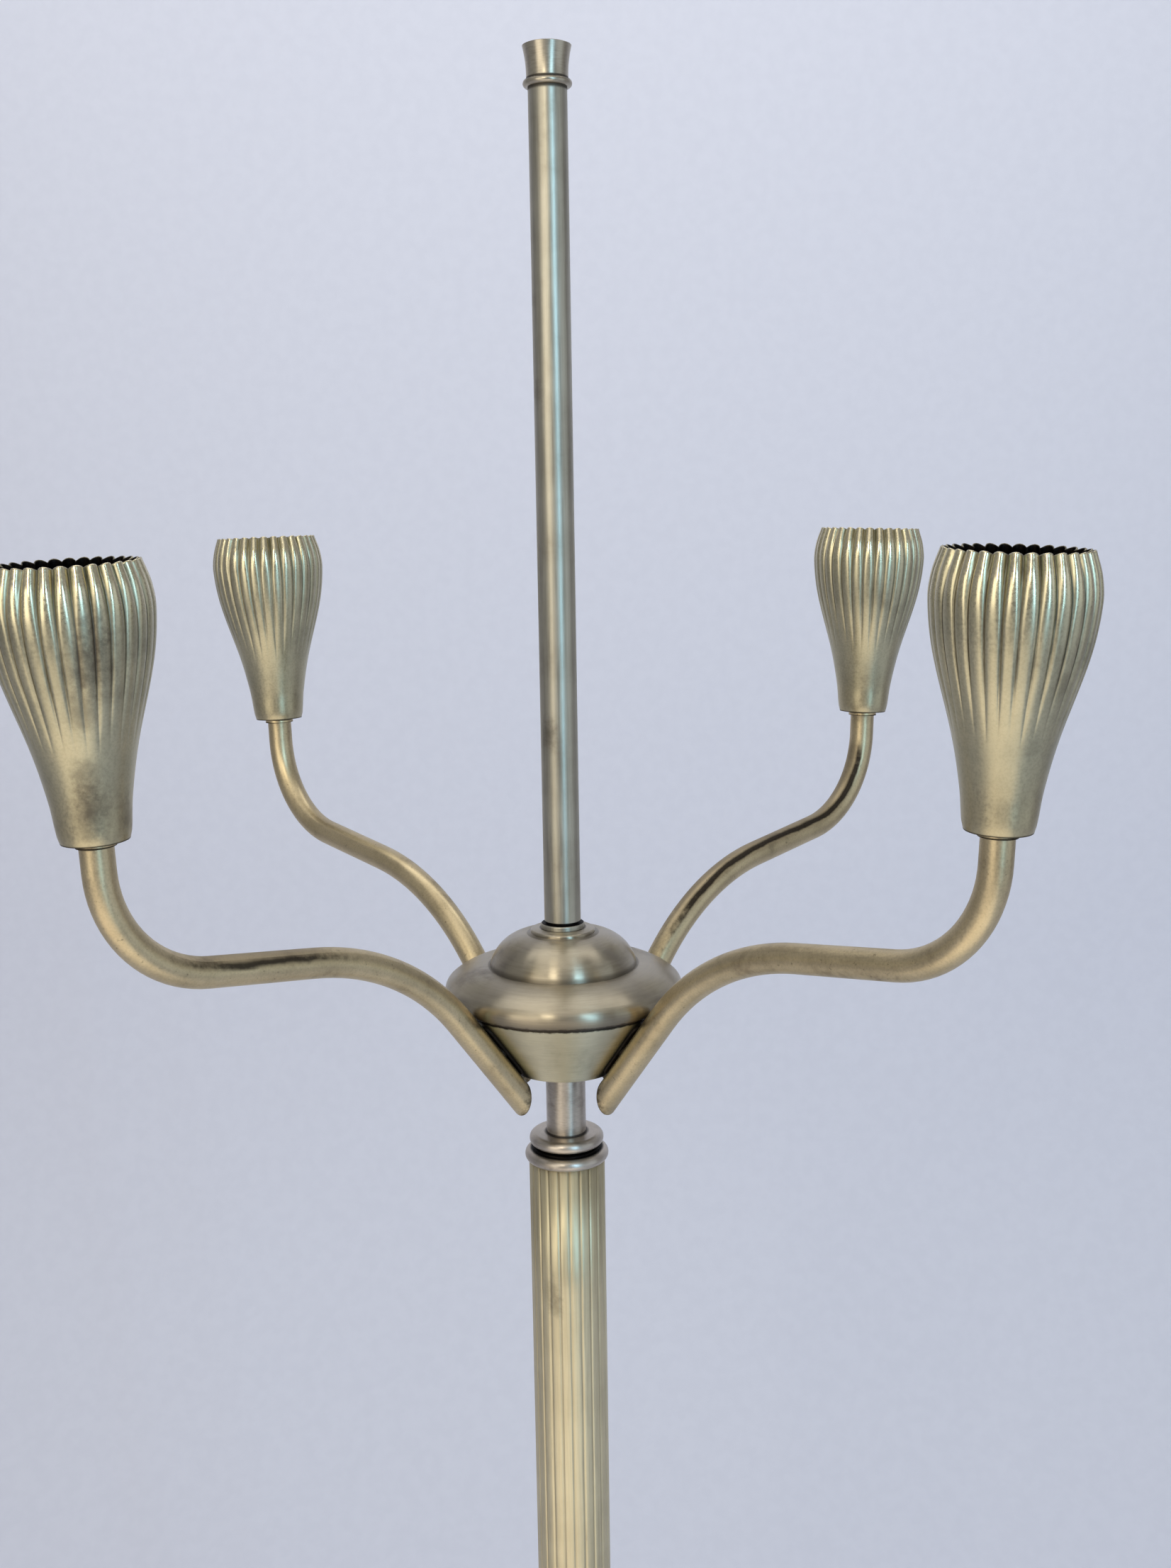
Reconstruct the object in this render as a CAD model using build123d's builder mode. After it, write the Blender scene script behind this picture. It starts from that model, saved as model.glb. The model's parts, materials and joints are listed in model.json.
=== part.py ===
from build123d import *
import os
from math import cos, pi, radians, sin, sqrt, tan

# Floor lamp with four bent arms and fluted cups round a thin centre stem, in millimetres.
# The origin is on the floor under the column, +Z is up, the front is -Y, and the arms stand
# on the diagonals. A tie pipe holds the base, the column and the hub together.

# Fits and gaps
FIT = 0.05
HOLE_CLEARANCE = 0.1
BOLT_CLEARANCE = 0.15
SWITCH_CLEARANCE = 0.3
HUB_NUT_STANDOFF = 0.35

# Base: felt pad, iron weight and spun cover
PAD_THICKNESS = 2.0
PAD_MARGIN = 6.0
COVER_RADIUS = 127.0
COVER_WALL = 1.2
SKIRT_HEIGHT = 17.0
SKIRT_ROUND = 5.0
FLANGE_WIDTH = 27.0
STEP_HEIGHT = 4.0
BASE_HEIGHT = 44.0
BASE_SWELL = 4.5
CROWN_RADIUS = 24.0
CROWN_HEIGHT = 2.4
CROWN_COVE = 5.0
COVER_EDGE_ROUND = 1.0
WEIGHT_SIDE_GAP = 5.0
WEIGHT_TOP_GAP = 1.5
WEIGHT_RECESS_RADIUS = 20.0
WEIGHT_RECESS_HEIGHT = 22.0
CHANNEL_WIDTH = 10.0
CHANNEL_HEIGHT = 11.0
BASE_WASHER_RADIUS = 17.0
BASE_WASHER_THICKNESS = 2.0
BASE_NUT_FLATS = 17.0
BASE_NUT_HEIGHT = 6.0

# Cord inlet at the back of the base
BUSHING_LEVEL = 6.6
BUSHING_HOLE_RADIUS = 4.2
BUSHING_BORE_RADIUS = 3.3
BUSHING_LIP = 0.8
BUSHING_LIP_THICKNESS = 1.8

# Foot switch on the flange at the front of the base
SWITCH_INSET = 20.0
SWITCH_BODY_RADIUS = 11.5
SWITCH_WALL = 2.5
SWITCH_CAP_THICKNESS = 1.4
SWITCH_NECK_RADIUS = 5.0
SWITCH_NECK_HEIGHT = 4.8
SWITCH_NUT_RADIUS = 8.5
SWITCH_NUT_HEIGHT = 3.2
SWITCH_NUT_RIDGES = 24
SWITCH_NUT_RIDGE_DEPTH = 0.4
BUTTON_RADIUS = 3.5
BUTTON_RISE = 8.5
BUTTON_TRAVEL = 4.0
BUTTON_COLLAR_RADIUS = 6.0
BUTTON_COLLAR_HEIGHT = 2.0
BUTTON_ROUND = 1.6
SPRING_RADIUS = 4.2
SPRING_WIRE = 0.7
SPRING_TURNS = 4

# Tie pipe and its nuts
PIPE_RADIUS = 5.05
PIPE_BORE_RADIUS = 3.5
PIPE_TAIL = 2.0
PIPE_STEM_GRIP = 12.0
HUB_NUT_FLATS = 14.0
HUB_NUT_HEIGHT = 4.0

# Column with the rings at its two ends
COLUMN_LENGTH = 1083.0
COLUMN_RADIUS = 13.5
COLUMN_BORE_RADIUS = 11.4
COLUMN_FLUTES = 22
COLUMN_FLUTE_DEPTH = 0.55
SPIGOT_LENGTH = 8.0
BASE_COLLAR_RADIUS = 21.0
BASE_COLLAR_HEIGHT = 8.6
BASE_RING_RADIUS = 16.2
BASE_RING_HEIGHT = 7.4
CAP_RADIUS = 14.9
CAP_HEIGHT = 5.05
CAP_RING_RADIUS = 13.2
CAP_RING_HEIGHT = 5.15
RING_GROOVE_HEIGHT = 0.75
RING_GROOVE_DEPTH = 3.0
RING_ROUND = 2.1
NECK_LENGTH = 25.0
NECK_RADIUS = 7.0

# Hub: cone, canopy and stepped dome
HUB_WALL = 1.2
CONE_RADIUS = 39.1
CONE_HEIGHT = 25.1
CONE_SLOPE = 52.0
CONE_EDGE_ROUND = 1.4
SEAM_GROOVE = 0.5
CANOPY_RADIUS = 41.5
CANOPY_HEIGHT = 11.9
CANOPY_BULGE_HEIGHT = 3.9
CANOPY_SHOULDER_ANGLE = 50.0
CANOPY_LAND_WIDTH = 4.5
DOME_RADIUS = 25.7
DOME_HEIGHT = 13.2
DOME_SWELL = 3.0
DOME_COVE = 1.2
DOME_SHOULDER_RADIUS = 11.3
DOME_SHOULDER_HEIGHT = 1.6
DOME_SHOULDER_ROUND = 0.8
DOME_HOLLOW_HEIGHT = 8.0
STEM_SEAT_RADIUS = 7.55
STEM_SEAT_HEIGHT = 2.5
STEM_SEAT_ROUND = 0.5
STEM_GAP_HEIGHT = 0.8
STEM_GAP_DEPTH = 0.6
TERMINAL_GAP = 10.0
TERMINAL_HEIGHT = 20.0

# Stem and finial
STEM_LENGTH = 274.0
STEM_RADIUS = 6.35
PLUG_LENGTH = 14.0
STUD_RADIUS = 3.1
FINIAL_RING_RADIUS = 7.95
FINIAL_RING_HEIGHT = 2.4
FINIAL_HEIGHT = 10.7
FINIAL_TOP_RADIUS = 7.9
FINIAL_WAIST_RADIUS = 6.8
FINIAL_WAIST_HEIGHT = 2.6
FINIAL_CROWN = 0.5
FINIAL_CROWN_EDGE = 1.2
FINIAL_BORE_DEPTH = 8.5
STUD_TIP_GAP = 0.5

# Arms
ARM_ANGLES = {"rear_right": 45.0, "rear_left": 135.0, "front_left": 225.0, "front_right": 315.0}
ARM_RADIUS = 4.75
ARM_WALL = 1.0
ARM_SADDLE_THICKNESS = 0.75
ARM_SADDLE_WIDTH = 6.0
ARM_SADDLE_LENGTH = 26.0
ARM_TAIL = 5.6
ARM_END_LEAN = 10.0
ARM_END_ROUND = 0.7
ARM_KNEE_REACH = 68.9
ARM_ELBOW_REACH = 170.3
ARM_SHOULDER_SLOPE = 8.0
ARM_RISER = 7.6
ARM_KNEE_RADIUS = 86.0
ARM_ELBOW_RADIUS = 37.0
CUP_LEAN = 2.5
ARM_NIPPLE_RADIUS = 2.6
ARM_NIPPLE_BORE = 1.8
ARM_NIPPLE_INSET = 1.9
ARM_NUT_FLATS = 8.0
ARM_NUT_HEIGHT = 2.4
ARM_NIPPLE_TAIL = 1.5

# Fluted cups
CUP_HEIGHT = 75.0
CUP_FOOT_RADIUS = 9.9
CUP_FOOT_ROUND = 0.6
CUP_NECK_RADIUS = 10.9
CUP_NECK_HEIGHT = 11.5
CUP_FLARE_RADIUS = 13.5
CUP_FLARE_HEIGHT = 25.0
CUP_SHOULDER_RADIUS = 20.2
CUP_SHOULDER_HEIGHT = 48.0
CUP_BELLY_RADIUS = 22.2
CUP_BELLY_HEIGHT = 62.5
CUP_RIM_RADIUS = 19.9
CUP_FLUTES = 30
CUP_FLUTE_DEPTH = 1.2
CUP_FLUTE_TRACE = 0.02
CUP_FLUTE_START = 25.0
CUP_FLUTE_FULL = 50.0
CUP_WALL = 0.7
CUP_FLOOR = 1.5
CUP_SECTIONS = 12
CUP_SEAT_RADIUS = 5.6
CUP_SEAT_HEIGHT = 1.6

# Lamp sockets in the cups
SOCKET_NIPPLE_BORE = 2.4
SOCKET_NUT_FLATS = 11.0
SOCKET_NUT_HEIGHT = 3.0
SOCKET_RECESS = 11.5
SOCKET_BORE_RADIUS = 13.2
SOCKET_BORE_DEPTH = 24.0
SOCKET_SHELL_WALL = 0.4
SOCKET_BODY_WALL = 1.5
SOCKET_FLOOR = 1.2
SOCKET_TAPER = 9.0
SOCKET_BOSS_RADIUS = 8.0
SOCKET_BOSS_HEIGHT = 6.0
SOCKET_LIP = 2.0
CONTACT_RADIUS = 4.0
CONTACT_HEIGHT = 2.0
CONTACT_SHANK_RADIUS = 1.5
CONTACT_SHANK_LENGTH = 2.0
CONTACT_DROP = 0.2

# Leads inside the tubes
ARM_LEAD_RADIUS = 1.3
ARM_LEAD_BEND = 3.0
MAIN_LEAD_RADIUS = 1.7
MAIN_LEAD_LEVEL = 4.2
MAIN_LEAD_BASE_BEND = 7.0
MAIN_LEAD_HUB_BEND = 3.0
LEAD_WINDOW_CLEARANCE = 0.4

# Heights of the stack, from the floor to the top of the finial
z_base = PAD_THICKNESS
z_flange = z_base + SKIRT_HEIGHT
z_step = z_flange + STEP_HEIGHT
z_crown = z_base + BASE_HEIGHT
z_base_ring = z_crown + BASE_COLLAR_HEIGHT
z_column = z_base_ring + BASE_RING_HEIGHT
z_cap = z_column + COLUMN_LENGTH
z_cap_ring = z_cap + CAP_HEIGHT
z_neck = z_cap_ring + CAP_RING_HEIGHT
z_cone = z_neck + NECK_LENGTH
z_seam = z_cone + CONE_HEIGHT
z_dome = z_seam + CANOPY_HEIGHT
z_seat = z_dome + DOME_HEIGHT
z_stem = z_seat + STEM_SEAT_HEIGHT
z_finial_ring = z_stem + STEM_LENGTH
z_finial = z_finial_ring + FINIAL_RING_HEIGHT
z_top = z_finial + FINIAL_HEIGHT

# Sizes that follow from the ones above
pipe_hole = PIPE_RADIUS + HOLE_CLEARANCE
stem_bore = PIPE_RADIUS + FIT
step_radius = COVER_RADIUS - SKIRT_ROUND - FLANGE_WIDTH
recess_top = z_base + WEIGHT_RECESS_HEIGHT
nut_bottom = recess_top - BASE_WASHER_THICKNESS - BASE_NUT_HEIGHT
pipe_bottom = nut_bottom - PIPE_TAIL
pipe_top = z_stem + PIPE_STEM_GRIP
stud_hole = STUD_RADIUS + FIT
switch_y = -(COVER_RADIUS - SWITCH_INSET)
switch_top = z_flange - COVER_WALL
spring_closed = SPRING_WIRE * (SPRING_TURNS + 1)
cap_top = switch_top - SWITCH_WALL - BUTTON_COLLAR_HEIGHT - BUTTON_TRAVEL - spring_closed
switch_bottom = cap_top - SWITCH_CAP_THICKNESS
slope = radians(CONE_SLOPE)
cone_bottom_radius = CONE_RADIUS - CONE_HEIGHT / tan(slope)
cone_wall_across = HUB_WALL / sin(slope)
arm_bore = ARM_RADIUS - ARM_WALL
socket_nipple_radius = arm_bore - FIT

# Points of an arm's centreline, as reach from the column's axis and height
along_cone = Vector(cos(slope), sin(slope))
off_cone = Vector(sin(slope), -cos(slope))
arm_foot = Vector(cone_bottom_radius, z_cone) + off_cone * (ARM_RADIUS + ARM_SADDLE_THICKNESS)
arm_tip = arm_foot - along_cone * ARM_TAIL
arm_blank = arm_tip - along_cone * (2 * ARM_RADIUS)
arm_knee = arm_foot + along_cone * ((ARM_KNEE_REACH - arm_foot.X) / cos(slope))
shoulder_rise = (ARM_ELBOW_REACH - ARM_KNEE_REACH) * tan(radians(ARM_SHOULDER_SLOPE))
arm_elbow = Vector(ARM_ELBOW_REACH, arm_knee.Y + shoulder_rise)
cup_axis = Vector(sin(radians(CUP_LEAN)), cos(radians(CUP_LEAN)))
elbow_turn = radians(90 - CUP_LEAN - ARM_SHOULDER_SLOPE)
arm_top = arm_elbow + cup_axis * (ARM_ELBOW_RADIUS * tan(elbow_turn / 2) + ARM_RISER)
nipple_point = arm_foot + along_cone * (CONE_HEIGHT / sin(slope) / 2)

# Depths along an arm nipple, from the arm's centreline towards the column's axis
cone_inside = ARM_RADIUS + ARM_SADDLE_THICKNESS + HUB_WALL
arm_nut_start = cone_inside + HUB_NUT_STANDOFF
arm_nipple_end = arm_nut_start + ARM_NUT_HEIGHT + ARM_NIPPLE_TAIL
terminal_face = cone_inside + TERMINAL_GAP

# Heights along a cup's axis, from the end of the arm
cup_foot = CUP_SEAT_HEIGHT
cup_floor = cup_foot + CUP_FLOOR
socket_mouth = cup_foot + CUP_HEIGHT - SOCKET_RECESS
shell_bottom = socket_mouth - SOCKET_LIP - SOCKET_BORE_DEPTH
shell_outside = SOCKET_BORE_RADIUS + SOCKET_SHELL_WALL
socket_body_radius = shell_outside + FIT + SOCKET_BODY_WALL
socket_seat = shell_bottom - SOCKET_SHELL_WALL
contact_seat = shell_bottom - CONTACT_DROP - CONTACT_HEIGHT
socket_base = contact_seat - CONTACT_SHANK_LENGTH - SOCKET_FLOOR
socket_bottom = socket_base - SOCKET_BOSS_HEIGHT

os.makedirs("parts", exist_ok=True)


def outward(angle):
    """Level direction from the column's axis along an arm."""
    return Vector(cos(radians(angle)), sin(radians(angle)), 0)


def arm_plane(angle):
    """Upright plane of an arm: X is reach, Y is height."""
    reach = outward(angle)
    return Plane(origin=(0, 0, 0), x_dir=reach, z_dir=reach.cross(Vector(0, 0, 1)))


def on_arm(angle, *points):
    """Points of reach and height, placed in an arm's upright plane."""
    plane = arm_plane(angle)
    return [plane.from_local_coords(point) for point in points]


def seat_plane(angle):
    """Plane across the end of an arm, facing up the cup's leaning axis."""
    plane = arm_plane(angle)
    across = plane.x_dir * cup_axis.Y - plane.y_dir * cup_axis.X
    up = plane.x_dir * cup_axis.X + plane.y_dir * cup_axis.Y
    return Plane(origin=plane.from_local_coords(arm_top), x_dir=across, z_dir=up)


def turning_plane(seat):
    """Plane through a cup's axis: X is radius, Y is height above the arm's end."""
    return Plane(origin=seat.origin, x_dir=seat.x_dir, z_dir=seat.y_dir * -1)


def nipple_plane(angle, depth):
    """Plane across an arm nipple, at a depth from the arm's centreline, with X up the cone."""
    plane = arm_plane(angle)
    inward = plane.x_dir * -off_cone.X - plane.y_dir * off_cone.Y
    uphill = plane.x_dir * along_cone.X + plane.y_dir * along_cone.Y
    return Plane(origin=plane.from_local_coords(nipple_point) + inward * depth, x_dir=uphill, z_dir=inward)


def tip_plane(angle):
    """Plane of the slanting cut at an arm's lower end, facing the column's axis and a little down."""
    plane = arm_plane(angle)
    lean = radians(ARM_END_LEAN)
    facing = plane.x_dir * -cos(lean) - plane.y_dir * sin(lean)
    return Plane(origin=plane.from_local_coords(arm_tip), x_dir=plane.z_dir, z_dir=facing)


def polar(radius, turn):
    """Point at a radius and an angle in radians."""
    return (radius * cos(turn), radius * sin(turn))


def lobed_outline(count, crest, depth):
    """Closed ring of round lobes with a groove between each two."""
    pitch = 2 * pi / count
    for lobe in range(count):
        start = polar(crest - depth, (lobe - 0.5) * pitch)
        end = polar(crest - depth, (lobe + 0.5) * pitch)
        ThreePointArc(start, polar(crest, lobe * pitch), end)


def rounded_ring(bottom, height, radius, bore, groove_on_top):
    """Outline of a turned ring with round edges and a thin groove at its upper or lower end."""
    top = bottom + height
    low = bottom if groove_on_top else bottom + RING_GROOVE_HEIGHT
    high = top - RING_GROOVE_HEIGHT if groove_on_top else top
    neck = radius - RING_GROOVE_DEPTH
    curve = min(RING_ROUND, (high - low) / 2 - FIT)
    low_neck = [] if groove_on_top else [(neck, bottom), (neck, low)]
    high_neck = [(neck, high), (neck, top)] if groove_on_top else []
    Polyline((bore, bottom), *low_neck, (radius - curve, low))
    RadiusArc((radius - curve, low), (radius, low + curve), -curve)
    Line((radius, low + curve), (radius, high - curve))
    RadiusArc((radius, high - curve), (radius - curve, high), -curve)
    Polyline((radius - curve, high), *high_neck, (bore, top), (bore, bottom))


def cover_outline(inset):
    """Half outline of the base cover, or of the space under it when inset by the wall."""
    skirt = COVER_RADIUS - inset
    flange = z_flange - inset
    curve = z_flange - SKIRT_ROUND
    step = step_radius - inset
    foot = CROWN_RADIUS + CROWN_COVE - inset
    crown_foot = z_crown - CROWN_HEIGHT - inset
    crown = CROWN_RADIUS - inset
    Line((skirt, z_base), (skirt, curve))
    RadiusArc((skirt, curve), (COVER_RADIUS - SKIRT_ROUND, flange), -(SKIRT_ROUND - inset))
    Polyline((COVER_RADIUS - SKIRT_ROUND, flange), (step, flange), (step, z_step - inset))
    SagittaArc((step, z_step - inset), (foot, crown_foot), -BASE_SWELL)
    Polyline((foot, crown_foot), (crown, crown_foot), (crown, z_crown - inset), (0, z_crown - inset))
    Polyline((0, z_crown - inset), (0, z_base), (skirt, z_base))


def canopy_outline(inset):
    """Half outline of the hub canopy, or of the space under it when inset by the wall."""
    swell = CANOPY_RADIUS - CONE_RADIUS
    curve = (swell**2 + CANOPY_BULGE_HEIGHT**2) / (2 * swell)
    centre = Vector(CANOPY_RADIUS - curve, z_seam + CANOPY_BULGE_HEIGHT)
    turn = radians(CANOPY_SHOULDER_ANGLE)
    bulge = centre + Vector(curve - inset, 0)
    shoulder = centre + Vector(cos(turn), sin(turn)) * (curve - inset)
    foot = Vector(CONE_RADIUS - inset / sin(slope), z_seam)
    top = Vector(DOME_RADIUS, z_dome - inset)
    if inset:
        Line(foot, bulge)
    else:
        RadiusArc(foot, bulge, -curve)
    RadiusArc(bulge, shoulder, -(curve - inset))
    TangentArc(shoulder, top, tangent=Vector(-sin(turn), cos(turn)))
    Polyline(top, (0, z_dome - inset), (0, z_seam), foot)


# Felt pad under the base
with BuildPart() as felt_pad:
    with BuildSketch():
        Circle(COVER_RADIUS - PAD_MARGIN)
    extrude(amount=PAD_THICKNESS)
felt_pad.part.label = "felt_pad"
export_step(felt_pad.part, "parts/felt_pad.step")

# Iron weight: a stepped disc with a hub under the cover's crown, recessed below for the nut
with BuildPart() as base_weight:
    rim = COVER_RADIUS - COVER_WALL - WEIGHT_SIDE_GAP
    tier = step_radius - COVER_WALL - WEIGHT_TOP_GAP
    hub = CROWN_RADIUS - COVER_WALL - WEIGHT_TOP_GAP
    rim_top = z_flange - COVER_WALL - WEIGHT_TOP_GAP
    tier_top = z_step - COVER_WALL - WEIGHT_TOP_GAP
    hub_foot = z_crown - CROWN_HEIGHT - COVER_WALL - WEIGHT_TOP_GAP
    hub_top = z_crown - COVER_WALL
    with BuildSketch(Plane.XZ):
        with BuildLine():
            Polyline(
                (pipe_hole, recess_top),
                (WEIGHT_RECESS_RADIUS, recess_top),
                (WEIGHT_RECESS_RADIUS, z_base),
                (rim, z_base),
                (rim, rim_top),
                (tier, rim_top),
                (tier, tier_top),
                (CROWN_RADIUS + CROWN_COVE, hub_foot),
                (hub, hub_foot),
                (hub, hub_top),
                (pipe_hole, hub_top),
                close=True,
            )
        make_face()
    revolve(axis=Axis.Z)
    # Pocket for the foot switch, and channels from it and from the cord inlet to the recess
    with BuildSketch(Plane.XY.offset(z_base)):
        with Locations((0, switch_y)):
            Circle(SWITCH_BODY_RADIUS + WEIGHT_TOP_GAP)
    extrude(amount=BASE_HEIGHT / 2, mode=Mode.SUBTRACT)
    with BuildSketch(Plane.XY.offset(z_base)):
        with Locations((0, (COVER_RADIUS + switch_y) / 2)):
            Rectangle(CHANNEL_WIDTH, COVER_RADIUS - switch_y)
    extrude(amount=CHANNEL_HEIGHT, mode=Mode.SUBTRACT)
base_weight.part.label = "base_weight"
export_step(base_weight.part, "parts/base_weight.step")

# Spun cover with holes for the pipe, the switch and the cord bushing
with BuildPart() as base_cover:
    with BuildSketch(Plane.XZ):
        with BuildLine():
            cover_outline(0)
        make_face()
    revolve(axis=Axis.Z)
    outside_edges = base_cover.edges().filter_by(GeomType.CIRCLE)
    fillet(outside_edges.filter_by_position(Axis.Z, z_step - FIT, z_step + FIT), COVER_EDGE_ROUND)
    outside_edges = base_cover.edges().filter_by(GeomType.CIRCLE)
    fillet(outside_edges.filter_by_position(Axis.Z, z_crown - FIT, z_crown + FIT), COVER_EDGE_ROUND)
    with BuildSketch(Plane.XZ):
        with BuildLine():
            cover_outline(COVER_WALL)
        make_face()
    revolve(axis=Axis.Z, mode=Mode.SUBTRACT)
    with BuildSketch(Plane.XY.offset(z_base)):
        Circle(pipe_hole)
        with Locations((0, switch_y)):
            Circle(SWITCH_NECK_RADIUS + BOLT_CLEARANCE)
    extrude(amount=BASE_HEIGHT + COVER_WALL, mode=Mode.SUBTRACT)
    with BuildSketch(Plane.XZ.offset(-COVER_RADIUS - COVER_WALL)):
        with Locations((0, z_base + BUSHING_LEVEL)):
            Circle(BUSHING_HOLE_RADIUS)
    extrude(amount=WEIGHT_SIDE_GAP, mode=Mode.SUBTRACT)
base_cover.part.label = "base_cover"
export_step(base_cover.part, "parts/base_cover.step")

# Washer and nut on the foot of the tie pipe
with BuildPart() as base_washer:
    with BuildSketch(Plane.XY.offset(recess_top - BASE_WASHER_THICKNESS)):
        Circle(BASE_WASHER_RADIUS)
        Circle(pipe_hole, mode=Mode.SUBTRACT)
    extrude(amount=BASE_WASHER_THICKNESS)
base_washer.part.label = "base_washer"
export_step(base_washer.part, "parts/base_washer.step")

with BuildPart() as base_nut:
    with BuildSketch(Plane.XY.offset(nut_bottom)):
        RegularPolygon(BASE_NUT_FLATS / 2, 6, major_radius=False)
        Circle(PIPE_RADIUS + FIT, mode=Mode.SUBTRACT)
    extrude(amount=BASE_NUT_HEIGHT)
base_nut.part.label = "base_nut"
export_step(base_nut.part, "parts/base_nut.step")

# Grommet in the skirt at the back, where a cord would enter
with BuildPart() as cord_bushing:
    level = z_base + BUSHING_LEVEL
    lip = BUSHING_HOLE_RADIUS + BUSHING_LIP
    outside = COVER_RADIUS + FIT
    inside = COVER_RADIUS - COVER_WALL - lip**2 / COVER_RADIUS
    neck = BUSHING_HOLE_RADIUS - FIT
    with BuildSketch(Plane.YZ):
        with BuildLine():
            Polyline(
                (inside - BUSHING_LIP_THICKNESS, level + BUSHING_BORE_RADIUS),
                (inside - BUSHING_LIP_THICKNESS, level + lip),
                (inside, level + lip),
                (inside, level + neck),
                (outside, level + neck),
                (outside, level + lip),
                (outside + BUSHING_LIP_THICKNESS, level + lip - BUSHING_LIP / 2),
                (outside + BUSHING_LIP_THICKNESS, level + BUSHING_BORE_RADIUS),
                close=True,
            )
        make_face()
    revolve(axis=Axis((0, 0, level), (0, 1, 0)))
cord_bushing.part.label = "cord_bushing"
export_step(cord_bushing.part, "parts/cord_bushing.step")

# Foot switch: body hung under the flange, cap, spring, button and knurled nut
switch_axis = Axis((0, switch_y, 0), (0, 0, 1))
switch_section = Plane(origin=(0, switch_y, 0), x_dir=(1, 0, 0), z_dir=(0, -1, 0))
switch_cavity = SWITCH_BODY_RADIUS - SWITCH_WALL
cavity_top = switch_top - SWITCH_WALL
button_top = z_flange + SWITCH_NUT_HEIGHT + BUTTON_RISE
collar_bottom = cavity_top - BUTTON_COLLAR_HEIGHT

with BuildPart() as switch_body:
    button_hole = BUTTON_RADIUS + SWITCH_CLEARANCE
    with BuildSketch(switch_section):
        with BuildLine():
            Polyline(
                (switch_cavity, switch_bottom),
                (SWITCH_BODY_RADIUS, switch_bottom),
                (SWITCH_BODY_RADIUS, switch_top),
                (SWITCH_NECK_RADIUS, switch_top),
                (SWITCH_NECK_RADIUS, switch_top + SWITCH_NECK_HEIGHT),
                (button_hole, switch_top + SWITCH_NECK_HEIGHT),
                (button_hole, cavity_top),
                (switch_cavity, cavity_top),
                close=True,
            )
        make_face()
    revolve(axis=switch_axis)
switch_body.part.label = "switch_body"
export_step(switch_body.part, "parts/switch_body.step")

with BuildPart() as switch_cap:
    with BuildSketch(Plane.XY.offset(switch_bottom)):
        with Locations((0, switch_y)):
            Circle(switch_cavity - FIT)
    extrude(amount=SWITCH_CAP_THICKNESS)
switch_cap.part.label = "switch_cap"
export_step(switch_cap.part, "parts/switch_cap.step")

with BuildPart() as switch_nut:
    with BuildSketch(Plane(origin=(0, switch_y, z_flange))):
        with BuildLine():
            lobed_outline(SWITCH_NUT_RIDGES, SWITCH_NUT_RADIUS, SWITCH_NUT_RIDGE_DEPTH)
        make_face()
        Circle(SWITCH_NECK_RADIUS + FIT, mode=Mode.SUBTRACT)
    extrude(amount=SWITCH_NUT_HEIGHT)
switch_nut.part.label = "switch_nut"
export_step(switch_nut.part, "parts/switch_nut.step")

with BuildPart() as switch_button:
    crown = button_top - BUTTON_ROUND
    with BuildSketch(switch_section):
        with BuildLine():
            Polyline(
                (0, button_top),
                (0, collar_bottom),
                (BUTTON_COLLAR_RADIUS, collar_bottom),
                (BUTTON_COLLAR_RADIUS, cavity_top),
                (BUTTON_RADIUS, cavity_top),
                (BUTTON_RADIUS, crown),
            )
            RadiusArc((BUTTON_RADIUS, crown), (BUTTON_RADIUS - BUTTON_ROUND, button_top), -BUTTON_ROUND)
            Line((BUTTON_RADIUS - BUTTON_ROUND, button_top), (0, button_top))
        make_face()
    revolve(axis=switch_axis)
switch_button.part.label = "switch_button"
export_step(switch_button.part, "parts/switch_button.step")

with BuildPart() as switch_spring:
    coil_rise = collar_bottom - cap_top - SPRING_WIRE
    with BuildLine():
        coil = Helix(
            pitch=coil_rise / SPRING_TURNS,
            height=coil_rise,
            radius=SPRING_RADIUS,
            center=(0, switch_y, cap_top + SPRING_WIRE / 2),
        )
    with BuildSketch(Plane(origin=coil @ 0, z_dir=coil % 0)):
        Circle(SPRING_WIRE / 2)
    sweep(path=coil)
switch_spring.part.label = "switch_spring"
export_step(switch_spring.part, "parts/switch_spring.step")

# Collar and ring that carry the column on the base
with BuildPart() as base_collar:
    with BuildSketch(Plane.XZ):
        with BuildLine():
            rounded_ring(z_crown, BASE_COLLAR_HEIGHT, BASE_COLLAR_RADIUS, pipe_hole, True)
        make_face()
    revolve(axis=Axis.Z)
base_collar.part.label = "base_collar"
export_step(base_collar.part, "parts/base_collar.step")

with BuildPart() as base_ring:
    with BuildSketch(Plane.XZ):
        with BuildLine():
            rounded_ring(z_base_ring, BASE_RING_HEIGHT, BASE_RING_RADIUS, pipe_hole, False)
        make_face()
    revolve(axis=Axis.Z)
    with BuildSketch(Plane.XY.offset(z_column)):
        Circle(COLUMN_BORE_RADIUS - HOLE_CLEARANCE)
        Circle(pipe_hole, mode=Mode.SUBTRACT)
    extrude(amount=SPIGOT_LENGTH)
base_ring.part.label = "base_ring"
export_step(base_ring.part, "parts/base_ring.step")

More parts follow.
